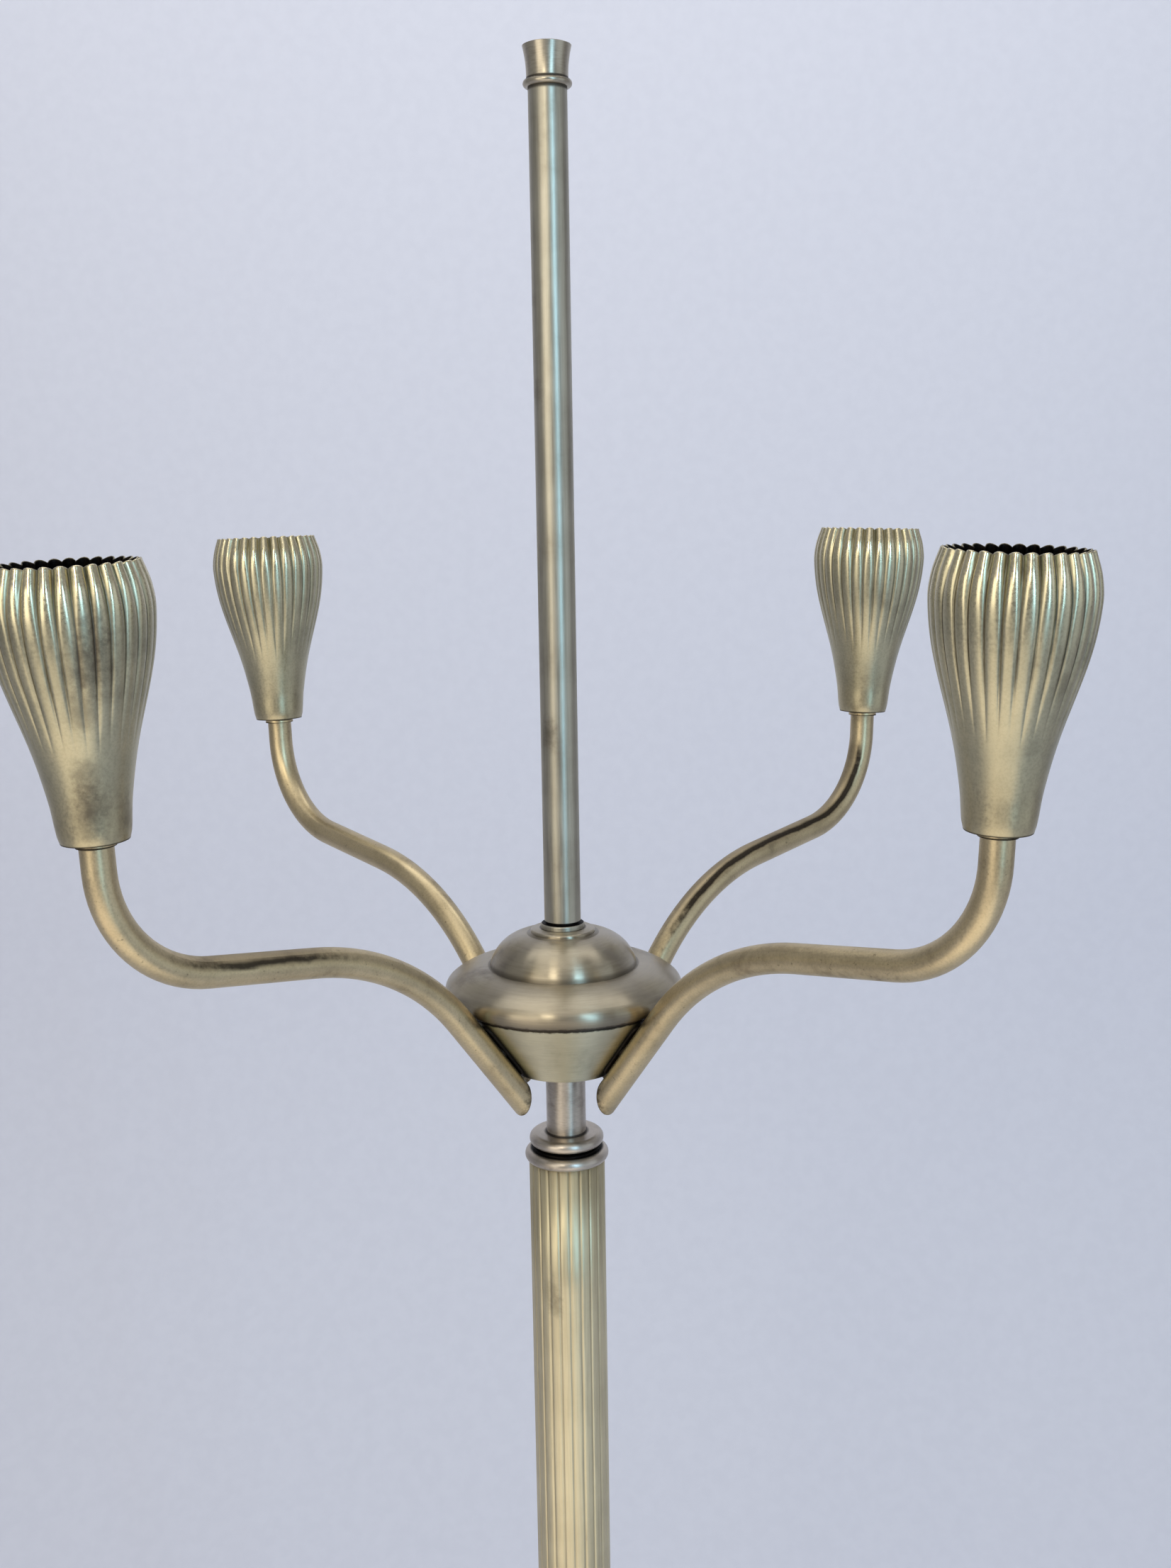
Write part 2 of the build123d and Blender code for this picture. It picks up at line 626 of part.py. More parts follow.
# Tie pipe from the base recess to the foot of the stem, with a window for the main lead
lead_exit = z_cone + HUB_WALL + HUB_NUT_HEIGHT + TERMINAL_HEIGHT / 2
with BuildPart() as tie_pipe:
    with BuildSketch(Plane.XY.offset(pipe_bottom)):
        Circle(PIPE_RADIUS)
        Circle(PIPE_BORE_RADIUS, mode=Mode.SUBTRACT)
    extrude(amount=pipe_top - pipe_bottom)
    with BuildSketch(Plane.XZ):
        with Locations((0, lead_exit)):
            Circle(MAIN_LEAD_RADIUS + LEAD_WINDOW_CLEARANCE)
    extrude(amount=2 * PIPE_RADIUS, mode=Mode.SUBTRACT)
tie_pipe.part.label = "tie_pipe"
export_step(tie_pipe.part, "parts/tie_pipe.step")

# Fluted column
with BuildPart() as column_tube:
    with BuildSketch(Plane.XY.offset(z_column)):
        with BuildLine():
            lobed_outline(COLUMN_FLUTES, COLUMN_RADIUS, COLUMN_FLUTE_DEPTH)
        make_face()
        Circle(COLUMN_BORE_RADIUS, mode=Mode.SUBTRACT)
    extrude(amount=COLUMN_LENGTH)
column_tube.part.label = "column_tube"
export_step(column_tube.part, "parts/column_tube.step")

# Two rounded rings that cap the column, and the neck tube above them
with BuildPart() as column_cap:
    with BuildSketch(Plane.XZ):
        with BuildLine():
            rounded_ring(z_cap, CAP_HEIGHT, CAP_RADIUS, pipe_hole, True)
        make_face()
    revolve(axis=Axis.Z)
    with BuildSketch(Plane.XY.offset(z_cap - SPIGOT_LENGTH)):
        Circle(COLUMN_BORE_RADIUS - HOLE_CLEARANCE)
        Circle(pipe_hole, mode=Mode.SUBTRACT)
    extrude(amount=SPIGOT_LENGTH)
column_cap.part.label = "column_cap"
export_step(column_cap.part, "parts/column_cap.step")

with BuildPart() as column_ring:
    with BuildSketch(Plane.XZ):
        with BuildLine():
            rounded_ring(z_cap_ring, CAP_RING_HEIGHT, CAP_RING_RADIUS, pipe_hole, False)
        make_face()
    revolve(axis=Axis.Z)
column_ring.part.label = "column_ring"
export_step(column_ring.part, "parts/column_ring.step")

with BuildPart() as neck_tube:
    with BuildSketch(Plane.XY.offset(z_neck)):
        Circle(NECK_RADIUS)
        Circle(pipe_hole, mode=Mode.SUBTRACT)
    extrude(amount=NECK_LENGTH)
neck_tube.part.label = "neck_tube"
export_step(neck_tube.part, "parts/neck_tube.step")

# Cone of the hub, with a hole for each arm nipple
with BuildPart() as hub_cone:
    floor = z_cone + HUB_WALL
    floor_radius = cone_bottom_radius + HUB_WALL / tan(slope) - cone_wall_across
    with BuildSketch(Plane.XZ):
        with BuildLine():
            Polyline(
                (pipe_hole, z_cone),
                (cone_bottom_radius, z_cone),
                (CONE_RADIUS - SEAM_GROOVE / tan(slope), z_seam - SEAM_GROOVE),
                (CONE_RADIUS - SEAM_GROOVE, z_seam),
                (CONE_RADIUS - cone_wall_across, z_seam),
                (floor_radius, floor),
                (pipe_hole, floor),
                close=True,
            )
        make_face()
    revolve(axis=Axis.Z)
    foot_edge = hub_cone.edges().filter_by(GeomType.CIRCLE).group_by(Axis.Z)[0].sort_by(SortBy.RADIUS)[-1]
    fillet(foot_edge, CONE_EDGE_ROUND)
    for angle in ARM_ANGLES.values():
        with BuildSketch(nipple_plane(angle, ARM_RADIUS)):
            Circle(ARM_NIPPLE_RADIUS + HOLE_CLEARANCE)
        extrude(amount=arm_nut_start + ARM_NUT_HEIGHT - ARM_RADIUS, mode=Mode.SUBTRACT)
hub_cone.part.label = "hub_cone"
export_step(hub_cone.part, "parts/hub_cone.step")

# Canopy over the cone, open in the middle under the dome
with BuildPart() as hub_canopy:
    with BuildSketch(Plane.XZ):
        with BuildLine():
            canopy_outline(0)
        make_face()
    revolve(axis=Axis.Z)
    with BuildSketch(Plane.XZ):
        with BuildLine():
            canopy_outline(HUB_WALL)
        make_face()
    revolve(axis=Axis.Z, mode=Mode.SUBTRACT)
    with BuildSketch(Plane.XY.offset(z_seam)):
        Circle(DOME_RADIUS - CANOPY_LAND_WIDTH)
    extrude(amount=CANOPY_HEIGHT + HUB_WALL, mode=Mode.SUBTRACT)
hub_canopy.part.label = "hub_canopy"
export_step(hub_canopy.part, "parts/hub_canopy.step")

# Stepped dome on the canopy
with BuildPart() as hub_dome:
    shoulder_top = z_seat - DOME_SHOULDER_ROUND / 2
    shoulder_low = z_seat - DOME_SHOULDER_HEIGHT
    cove = (DOME_SHOULDER_RADIUS + DOME_COVE, shoulder_low - DOME_COVE / 3)
    ledge = (DOME_SHOULDER_RADIUS, shoulder_top - DOME_SHOULDER_ROUND)
    brow = (DOME_SHOULDER_RADIUS - DOME_SHOULDER_ROUND, shoulder_top)
    with BuildSketch(Plane.XZ):
        with BuildLine():
            SagittaArc((DOME_RADIUS, z_dome), cove, -DOME_SWELL)
            Polyline(cove, (DOME_SHOULDER_RADIUS, shoulder_low), ledge)
            RadiusArc(ledge, brow, -DOME_SHOULDER_ROUND)
            Polyline(brow, (STEM_SEAT_RADIUS, z_seat), (pipe_hole, z_seat), (pipe_hole, z_dome))
            Line((pipe_hole, z_dome), (DOME_RADIUS, z_dome))
        make_face()
    revolve(axis=Axis.Z)
    with BuildSketch(Plane.XZ):
        with BuildLine():
            Polyline(
                (0, z_dome),
                (DOME_RADIUS - HUB_WALL, z_dome),
                (DOME_SHOULDER_RADIUS, z_dome + DOME_HOLLOW_HEIGHT),
                (0, z_dome + DOME_HOLLOW_HEIGHT),
                close=True,
            )
        make_face()
    revolve(axis=Axis.Z, mode=Mode.SUBTRACT)
hub_dome.part.label = "hub_dome"
export_step(hub_dome.part, "parts/hub_dome.step")

# Nut on the pipe inside the cone, and the terminal block that stands on it
with BuildPart() as hub_nut:
    with BuildSketch(Plane.XY.offset(z_cone + HUB_WALL)):
        RegularPolygon(HUB_NUT_FLATS / 2, 6, major_radius=False)
        Circle(PIPE_RADIUS + FIT, mode=Mode.SUBTRACT)
    extrude(amount=HUB_NUT_HEIGHT)
hub_nut.part.label = "hub_nut"
export_step(hub_nut.part, "parts/hub_nut.step")

block_bottom = z_cone + HUB_WALL + HUB_NUT_HEIGHT
block_top = block_bottom + TERMINAL_HEIGHT
block_face = nipple_point - off_cone * terminal_face
with BuildPart() as terminal_block:
    with BuildSketch(Plane.XZ):
        with BuildLine():
            Polyline(
                (pipe_hole, block_bottom),
                (block_face.X + (block_bottom - block_face.Y) / tan(slope), block_bottom),
                (block_face.X + (block_top - block_face.Y) / tan(slope), block_top),
                (pipe_hole, block_top),
                close=True,
            )
        make_face()
    revolve(axis=Axis.Z)
terminal_block.part.label = "terminal_block"
export_step(terminal_block.part, "parts/terminal_block.step")

# Seat ring, with a narrow gap under the centre stem, and the stem
with BuildPart() as stem_seat:
    with BuildSketch(Plane.XY.offset(z_seat)):
        Circle(STEM_SEAT_RADIUS)
        Circle(pipe_hole, mode=Mode.SUBTRACT)
    extrude(amount=STEM_SEAT_HEIGHT - STEM_GAP_HEIGHT)
    fillet(stem_seat.edges().group_by(Axis.Z)[-1].sort_by(SortBy.RADIUS)[-1], STEM_SEAT_ROUND)
    with BuildSketch(Plane.XY.offset(z_stem - STEM_GAP_HEIGHT)):
        Circle(STEM_RADIUS - STEM_GAP_DEPTH)
        Circle(pipe_hole, mode=Mode.SUBTRACT)
    extrude(amount=STEM_GAP_HEIGHT)
stem_seat.part.label = "stem_seat"
export_step(stem_seat.part, "parts/stem_seat.step")

with BuildPart() as stem_tube:
    with BuildSketch(Plane.XY.offset(z_stem)):
        Circle(STEM_RADIUS)
        Circle(stem_bore, mode=Mode.SUBTRACT)
    extrude(amount=STEM_LENGTH)
stem_tube.part.label = "stem_tube"
export_step(stem_tube.part, "parts/stem_tube.step")

# Plug in the top of the stem and the stud that the finial turns on
with BuildPart() as stem_plug:
    with BuildSketch(Plane.XY.offset(z_finial_ring - PLUG_LENGTH)):
        Circle(stem_bore - FIT)
        Circle(stud_hole, mode=Mode.SUBTRACT)
    extrude(amount=PLUG_LENGTH)
stem_plug.part.label = "stem_plug"
export_step(stem_plug.part, "parts/stem_plug.step")

with BuildPart() as finial_stud:
    stud_top = z_finial + FINIAL_BORE_DEPTH - STUD_TIP_GAP
    with BuildSketch(Plane.XY.offset(z_finial_ring - PLUG_LENGTH)):
        Circle(STUD_RADIUS)
    extrude(amount=stud_top - z_finial_ring + PLUG_LENGTH)
    chamfer(finial_stud.edges().group_by(Axis.Z)[-1], STUD_TIP_GAP)
finial_stud.part.label = "finial_stud"
export_step(finial_stud.part, "parts/finial_stud.step")

# Beaded ring and finial knob
with BuildPart() as finial_ring:
    bead = FINIAL_RING_HEIGHT / 2
    with BuildSketch(Plane.XZ):
        with BuildLine():
            Line((stud_hole, z_finial_ring), (FINIAL_RING_RADIUS - bead, z_finial_ring))
            RadiusArc(
                (FINIAL_RING_RADIUS - bead, z_finial_ring), (FINIAL_RING_RADIUS, z_finial_ring + bead), -bead
            )
            RadiusArc((FINIAL_RING_RADIUS, z_finial_ring + bead), (FINIAL_RING_RADIUS - bead, z_finial), -bead)
            Polyline(
                (FINIAL_RING_RADIUS - bead, z_finial), (stud_hole, z_finial), (stud_hole, z_finial_ring)
            )
        make_face()
    revolve(axis=Axis.Z)
finial_ring.part.label = "finial_ring"
export_step(finial_ring.part, "parts/finial_ring.step")

with BuildPart() as finial:
    rim_height = z_top - FINIAL_CROWN
    with BuildSketch(Plane.XZ):
        with BuildLine():
            Spline(
                (FINIAL_WAIST_RADIUS, z_finial),
                (FINIAL_WAIST_RADIUS, z_finial + FINIAL_WAIST_HEIGHT),
                (FINIAL_TOP_RADIUS, rim_height),
            )
            Polyline(
                (FINIAL_TOP_RADIUS, rim_height),
                (FINIAL_TOP_RADIUS - FINIAL_CROWN_EDGE, z_top),
                (0, z_top),
            )
            Polyline((0, z_top), (0, z_finial), (FINIAL_WAIST_RADIUS, z_finial))
        make_face()
    revolve(axis=Axis.Z)
    with BuildSketch(Plane.XY.offset(z_finial)):
        Circle(stud_hole)
    extrude(amount=FINIAL_BORE_DEPTH, mode=Mode.SUBTRACT)
finial.part.label = "finial"
export_step(finial.part, "parts/finial.step")

# Bent arms, closed and cut aslant at the lower end, with a hole in the wall for the arm nipple
for place, angle in ARM_ANGLES.items():
    with BuildPart() as arm:
        with BuildLine() as outside:
            FilletPolyline(
                on_arm(angle, arm_blank, arm_knee, arm_elbow, arm_top),
                radius=[ARM_KNEE_RADIUS, ARM_ELBOW_RADIUS],
            )
        with BuildSketch(Plane(origin=outside.line @ 0, z_dir=outside.line % 0)):
            Circle(ARM_RADIUS)
        sweep(path=outside.line)
        tip = tip_plane(angle)
        with BuildSketch(tip):
            Circle(3 * ARM_RADIUS)
        extrude(amount=3 * ARM_RADIUS, mode=Mode.SUBTRACT)
        fillet(arm.faces().sort_by_distance(tip.origin)[0].edges(), radius=ARM_END_ROUND)
        with BuildLine() as inside:
            FilletPolyline(
                on_arm(angle, arm_foot, arm_knee, arm_elbow, arm_top),
                radius=[ARM_KNEE_RADIUS, ARM_ELBOW_RADIUS],
            )
        with BuildSketch(Plane(origin=inside.line @ 0, z_dir=inside.line % 0)):
            Circle(arm_bore)
        sweep(path=inside.line, mode=Mode.SUBTRACT)
        with BuildSketch(nipple_plane(angle, 0)):
            Circle(ARM_NIPPLE_RADIUS + FIT)
        extrude(amount=2 * ARM_RADIUS, mode=Mode.SUBTRACT)
    arm.part.label = f"arm_{place}"
    export_step(arm.part, f"parts/arm_{place}.step")

# Thin saddle strips, hollow nipples and nuts that hold the arms to the cone
with BuildPart() as arm_saddles:
    for angle in ARM_ANGLES.values():
        with BuildSketch(nipple_plane(angle, ARM_RADIUS)):
            SlotOverall(ARM_SADDLE_LENGTH, ARM_SADDLE_WIDTH)
            Circle(ARM_NIPPLE_RADIUS + FIT, mode=Mode.SUBTRACT)
        extrude(amount=ARM_SADDLE_THICKNESS)
arm_saddles.part.label = "arm_saddles"
export_step(arm_saddles.part, "parts/arm_saddles.step")

with BuildPart() as arm_nipples:
    for angle in ARM_ANGLES.values():
        with BuildSketch(nipple_plane(angle, arm_bore - ARM_NIPPLE_INSET)):
            Circle(ARM_NIPPLE_RADIUS)
            Circle(ARM_NIPPLE_BORE, mode=Mode.SUBTRACT)
        extrude(amount=arm_nipple_end - arm_bore + ARM_NIPPLE_INSET)
arm_nipples.part.label = "arm_nipples"
export_step(arm_nipples.part, "parts/arm_nipples.step")

with BuildPart() as arm_nuts:
    for angle in ARM_ANGLES.values():
        with BuildSketch(nipple_plane(angle, arm_nut_start)):
            RegularPolygon(ARM_NUT_FLATS / 2, 6, major_radius=False)
            Circle(ARM_NIPPLE_RADIUS + FIT, mode=Mode.SUBTRACT)
        extrude(amount=ARM_NUT_HEIGHT)
arm_nuts.part.label = "arm_nuts"
export_step(arm_nuts.part, "parts/arm_nuts.step")

# Crest line of a cup, as radius and height above its foot
with BuildLine() as cup_crest:
    Spline(
        (CUP_FOOT_RADIUS - CUP_FOOT_ROUND, 0),
        (CUP_FOOT_RADIUS, 4 * CUP_FOOT_ROUND),
        (CUP_NECK_RADIUS, CUP_NECK_HEIGHT),
        (CUP_FLARE_RADIUS, CUP_FLARE_HEIGHT),
        (CUP_SHOULDER_RADIUS, CUP_SHOULDER_HEIGHT),
        (CUP_BELLY_RADIUS, CUP_BELLY_HEIGHT),
        (CUP_RIM_RADIUS, CUP_HEIGHT),
    )
cup_stations = [cup_crest.line @ (step / CUP_SECTIONS) for step in range(CUP_SECTIONS + 1)]


def flute_depth(height):
    """Depth of the grooves at a height on a cup: a trace at its foot, full from the shoulder up."""
    share = (height - CUP_FLUTE_START) / (CUP_FLUTE_FULL - CUP_FLUTE_START)
    share = max(0.0, min(1.0, share))
    return max(CUP_FLUTE_TRACE, CUP_FLUTE_DEPTH * share * share * (3 - 2 * share))


# Fluted cups, hollow inside, with a hole in the floor for the socket nipple
for place, angle in ARM_ANGLES.items():
    seat = seat_plane(angle)
    with BuildPart() as cup:
        for station in cup_stations:
            with BuildSketch(seat.offset(cup_foot + station.Y)):
                with BuildLine():
                    lobed_outline(CUP_FLUTES, station.X, flute_depth(station.Y))
                make_face()
        loft()
        inner = [
            (station.X - flute_depth(station.Y) - CUP_WALL, cup_foot + station.Y)
            for station in cup_stations
            if station.Y > CUP_FLOOR
        ]
        above = cup_foot + CUP_HEIGHT + CUP_FLOOR
        floor_radius = CUP_FOOT_RADIUS - CUP_FOOT_ROUND - CUP_WALL
        with BuildSketch(turning_plane(seat)):
            with BuildLine():
                Polyline((0, above), (0, cup_floor), (floor_radius, cup_floor), inner[0])
                Spline(*inner)
                Polyline(inner[-1], (inner[-1][0], above), (0, above))
            make_face()
        revolve(axis=Axis(seat.origin, seat.z_dir), mode=Mode.SUBTRACT)
        with BuildSketch(seat):
            Circle(socket_nipple_radius + HOLE_CLEARANCE)
        extrude(amount=CUP_HEIGHT / 2, mode=Mode.SUBTRACT)
    cup.part.label = f"cup_{place}"
    export_step(cup.part, f"parts/cup_{place}.step")

# Thin seat rings between the arms and the cups
with BuildPart() as cup_seats:
    for angle in ARM_ANGLES.values():
        with BuildSketch(seat_plane(angle)):
            Circle(CUP_SEAT_RADIUS)
            Circle(socket_nipple_radius + HOLE_CLEARANCE, mode=Mode.SUBTRACT)
        extrude(amount=CUP_SEAT_HEIGHT)
cup_seats.part.label = "cup_seats"
export_step(cup_seats.part, "parts/cup_seats.step")

# Hollow nipples and nuts that hold the cups and the sockets to the arms
with BuildPart() as socket_nipples:
    for angle in ARM_ANGLES.values():
        with BuildSketch(seat_plane(angle).offset(-ARM_RISER)):
            Circle(socket_nipple_radius)
            Circle(SOCKET_NIPPLE_BORE, mode=Mode.SUBTRACT)
        extrude(amount=ARM_RISER + socket_base)
socket_nipples.part.label = "socket_nipples"
export_step(socket_nipples.part, "parts/socket_nipples.step")

with BuildPart() as socket_nuts:
    for angle in ARM_ANGLES.values():
        with BuildSketch(seat_plane(angle).offset(cup_floor)):
            RegularPolygon(SOCKET_NUT_FLATS / 2, 6, major_radius=False)
            Circle(socket_nipple_radius + FIT, mode=Mode.SUBTRACT)
        extrude(amount=SOCKET_NUT_HEIGHT)
socket_nuts.part.label = "socket_nuts"
export_step(socket_nuts.part, "parts/socket_nuts.step")

# Lamp sockets: insulating body, screw shell and centre contact in each cup
for place, angle in ARM_ANGLES.items():
    seat = seat_plane(angle)
    socket_axis = Axis(seat.origin, seat.z_dir)
    with BuildPart() as socket_body:
        nipple_hole = socket_nipple_radius + FIT
        shell_hole = shell_outside + FIT
        with BuildSketch(turning_plane(seat)):
            with BuildLine():
                Polyline(
                    (nipple_hole, socket_bottom),
                    (SOCKET_BOSS_RADIUS, socket_bottom),
                    (SOCKET_BOSS_RADIUS, socket_seat - SOCKET_TAPER),
                    (socket_body_radius, socket_seat),
                    (socket_body_radius, socket_mouth),
                    (SOCKET_BORE_RADIUS + SOCKET_SHELL_WALL / 2, socket_mouth),
                    (SOCKET_BORE_RADIUS + SOCKET_SHELL_WALL / 2, socket_mouth - SOCKET_LIP),
                    (shell_hole, socket_mouth - SOCKET_LIP),
                    (shell_hole, socket_seat),
                    (CONTACT_RADIUS + HOLE_CLEARANCE, socket_seat),
                    (CONTACT_RADIUS + HOLE_CLEARANCE, contact_seat),
                    (CONTACT_SHANK_RADIUS + FIT, contact_seat),
                    (CONTACT_SHANK_RADIUS + FIT, contact_seat - CONTACT_SHANK_LENGTH),
                    (0, contact_seat - CONTACT_SHANK_LENGTH),
                    (0, socket_base),
                    (nipple_hole, socket_base),
                    close=True,
                )
            make_face()
        revolve(axis=socket_axis)
    socket_body.part.label = f"socket_body_{place}"
    export_step(socket_body.part, f"parts/socket_body_{place}.step")

    with BuildPart() as socket_shell:
        contact_gap = 2 * CONTACT_RADIUS - CONTACT_SHANK_RADIUS
        with BuildSketch(turning_plane(seat)):
            with BuildLine():
                Polyline(
                    (contact_gap, socket_seat),
                    (shell_outside, socket_seat),
                    (shell_outside, socket_mouth - SOCKET_LIP),
                    (SOCKET_BORE_RADIUS, socket_mouth - SOCKET_LIP),
                    (SOCKET_BORE_RADIUS, shell_bottom),
                    (contact_gap, shell_bottom),
                    close=True,
                )
            make_face()
        revolve(axis=socket_axis)
    socket_shell.part.label = f"socket_shell_{place}"
    export_step(socket_shell.part, f"parts/socket_shell_{place}.step")

    with BuildPart() as socket_contact:
        with BuildSketch(turning_plane(seat)):
            with BuildLine():
                Polyline(
                    (0, contact_seat - CONTACT_SHANK_LENGTH),
                    (CONTACT_SHANK_RADIUS, contact_seat - CONTACT_SHANK_LENGTH),
                    (CONTACT_SHANK_RADIUS, contact_seat),
                    (CONTACT_RADIUS, contact_seat),
                    (CONTACT_RADIUS, contact_seat + CONTACT_HEIGHT / 2),
                    (CONTACT_RADIUS / 2, contact_seat + CONTACT_HEIGHT),
                    (0, contact_seat + CONTACT_HEIGHT),
                    close=True,
                )
            make_face()
        revolve(axis=socket_axis)
    socket_contact.part.label = f"socket_contact_{place}"
    export_step(socket_contact.part, f"parts/socket_contact_{place}.step")

# Leads from the sockets, down the arms and through the arm nipples to the terminal block
lead_start = arm_top + cup_axis * socket_base
for place, angle in ARM_ANGLES.items():
    with BuildPart() as arm_lead:
        with BuildLine() as route:
            FilletPolyline(
                on_arm(angle, lead_start, arm_elbow, arm_knee, nipple_point, block_face),
                radius=[ARM_ELBOW_RADIUS, ARM_KNEE_RADIUS, ARM_LEAD_BEND],
            )
        with BuildSketch(Plane(origin=route.line @ 0, z_dir=route.line % 0)):
            Circle(ARM_LEAD_RADIUS)
        sweep(path=route.line)
    arm_lead.part.label = f"arm_lead_{place}"
    export_step(arm_lead.part, f"parts/arm_lead_{place}.step")

# Main lead from the switch, along the base channel and up the tie pipe to the terminal block
with BuildPart() as main_lead:
    lead_level = z_base + MAIN_LEAD_LEVEL
    lead_reach = sqrt(pipe_hole**2 - MAIN_LEAD_RADIUS**2) - HOLE_CLEARANCE
    with BuildLine() as route:
        FilletPolyline(
            (0, switch_y + SWITCH_BODY_RADIUS, lead_level),
            (0, 0, lead_level),
            (0, 0, lead_exit),
            (0, -lead_reach, lead_exit),
            radius=[MAIN_LEAD_BASE_BEND, MAIN_LEAD_HUB_BEND],
        )
    with BuildSketch(Plane(origin=route.line @ 0, z_dir=route.line % 0)):
        Circle(MAIN_LEAD_RADIUS)
    sweep(path=route.line)
main_lead.part.label = "main_lead"
export_step(main_lead.part, "parts/main_lead.step")
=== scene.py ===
import json
from math import cos, pi, radians, sin

import bpy
from mathutils import Matrix, Vector


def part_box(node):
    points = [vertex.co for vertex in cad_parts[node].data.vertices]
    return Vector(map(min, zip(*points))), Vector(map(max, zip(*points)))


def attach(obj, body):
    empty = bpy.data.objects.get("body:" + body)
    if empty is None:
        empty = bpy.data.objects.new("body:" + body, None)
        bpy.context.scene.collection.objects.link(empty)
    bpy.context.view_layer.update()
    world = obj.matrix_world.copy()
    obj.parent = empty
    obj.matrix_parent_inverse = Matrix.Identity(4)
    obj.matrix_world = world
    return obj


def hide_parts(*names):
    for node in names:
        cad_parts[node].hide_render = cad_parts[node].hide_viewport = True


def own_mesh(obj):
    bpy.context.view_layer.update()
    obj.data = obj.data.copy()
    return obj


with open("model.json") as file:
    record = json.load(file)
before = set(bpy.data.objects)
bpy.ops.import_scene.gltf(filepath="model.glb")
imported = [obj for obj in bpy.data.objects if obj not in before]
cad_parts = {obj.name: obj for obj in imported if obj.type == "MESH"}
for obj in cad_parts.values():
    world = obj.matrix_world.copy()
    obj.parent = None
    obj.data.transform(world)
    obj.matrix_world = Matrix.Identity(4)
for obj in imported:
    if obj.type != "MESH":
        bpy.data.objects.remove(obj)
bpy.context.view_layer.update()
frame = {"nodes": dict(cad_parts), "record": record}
scene = bpy.context.scene
nodes = frame["nodes"]
record = frame["record"]
MM = 0.001

# Camera at the photograph's viewpoint: metres and degrees, in the lamp's frame
PHOTO_HEIGHT = 2212
FOCAL_PIXELS = 2287.2
SENSOR_HEIGHT = 36.0
CAMERA_PLACE = Vector((0.0204, -0.5487, 1.3787))
CAMERA_HEADING = 91.22
CAMERA_PITCH = -10.11
CAMERA_ROLL = -0.89
CAMERA_NEAR = 0.01

# Reeded column: flat reeds with a narrow groove on each side, closed at both ends
COLUMN_RADIUS = 13.5 * MM
COLUMN_BORE = 11.4 * MM
COLUMN_REEDS = 22
REED_CROWN = 0.12 * MM
REED_GROOVE = 0.22 * MM
REED_TURN = radians(4.4)
REED_STEPS = 14
REED_EDGE = 0.66
COLUMN_ROWS = 24

# Fluted cups: radius against height above the foot, in millimetres, along the tops of the lobes
CUP_OUTLINE = (
    (9.3, 0.0),
    (9.9, 2.4),
    (11.0, 11.5),
    (13.8, 25.0),
    (20.3, 48.0),
    (22.2, 61.5),
    (21.6, 68.5),
    (19.6, 75.0),
)
CUP_HEIGHT = 75.0 * MM
CUP_WALL = 0.75 * MM
CUP_FLOOR = 1.5 * MM
CUP_HOLE = 3.8 * MM
CUP_ABOVE_ARM = 1.6 * MM
SOCKET_ABOVE_ARM = 63.1 * MM
CUP_LOBES = 30
LOBE_STEPS = 10
LOBE_GATHER = 0.62
LOBE_SQUARE = 3.2
FLUTE_DEPTH = 0.85 * MM
FLUTE_START = 23.0 * MM
FLUTE_FULL = 50.0 * MM
RIM_DEPTH = 1.15 * MM
RIM_START = 56.0 * MM
RIM_DIP = 0.9 * MM
RIM_DIP_START = 66.0 * MM
FLUTE_UNEVEN = 0.14
LOBE_PHASE = 2.4
CUP_PHASE = 1.7
CUP_ROWS = 72
CUP_FOOT_ROWS = 6
LIP_ROWS = 6
INSIDE_ROWS = 26

# Heights and radii that the finishes follow, in metres
SEAM_LEVEL = 1.2053
COLUMN_TOP_LEVEL = 1.145
RING_GAP_LEVEL = 1.15005
NECK_FOOT_LEVEL = 1.1552
STEM_FOOT_LEVEL = 1.2329
FINIAL_FOOT_LEVEL = 1.5069
SEAT_LEVEL = 1.2871
DOME_EDGE_SHADE_RADIUS = 25.9 * MM
SHOULDER_SHADE_RADIUS = 12.0 * MM
STEM_SEAT_SHADE_RADIUS = 7.6 * MM
RING_GAP_FADE = (12.4 * MM, 13.6 * MM)
NECK_FOOT_FADE = (7.2 * MM, 8.4 * MM)

# Painted shade with some grime on the cone beside the arms, measured across them, and darkening on the
# arms' lower ends
ARM_SHADE_AND_GRIME_FADE = (3.2 * MM, 7.2 * MM)
ARM_TIP_REACH = 20.0 * MM
ARM_TIP_FADE = 4.0 * MM
ARM_TIP_RAGGED = 9.0 * MM

# Tarnish colours that also serve as painted shade, from thin brown oxide to black in the recesses
OXIDE_AND_SHADE = (0.085, 0.066, 0.05)
GRIME_AND_SHADE = (0.022, 0.017, 0.014)
RECESS_BLACK = (0.008, 0.007, 0.007)

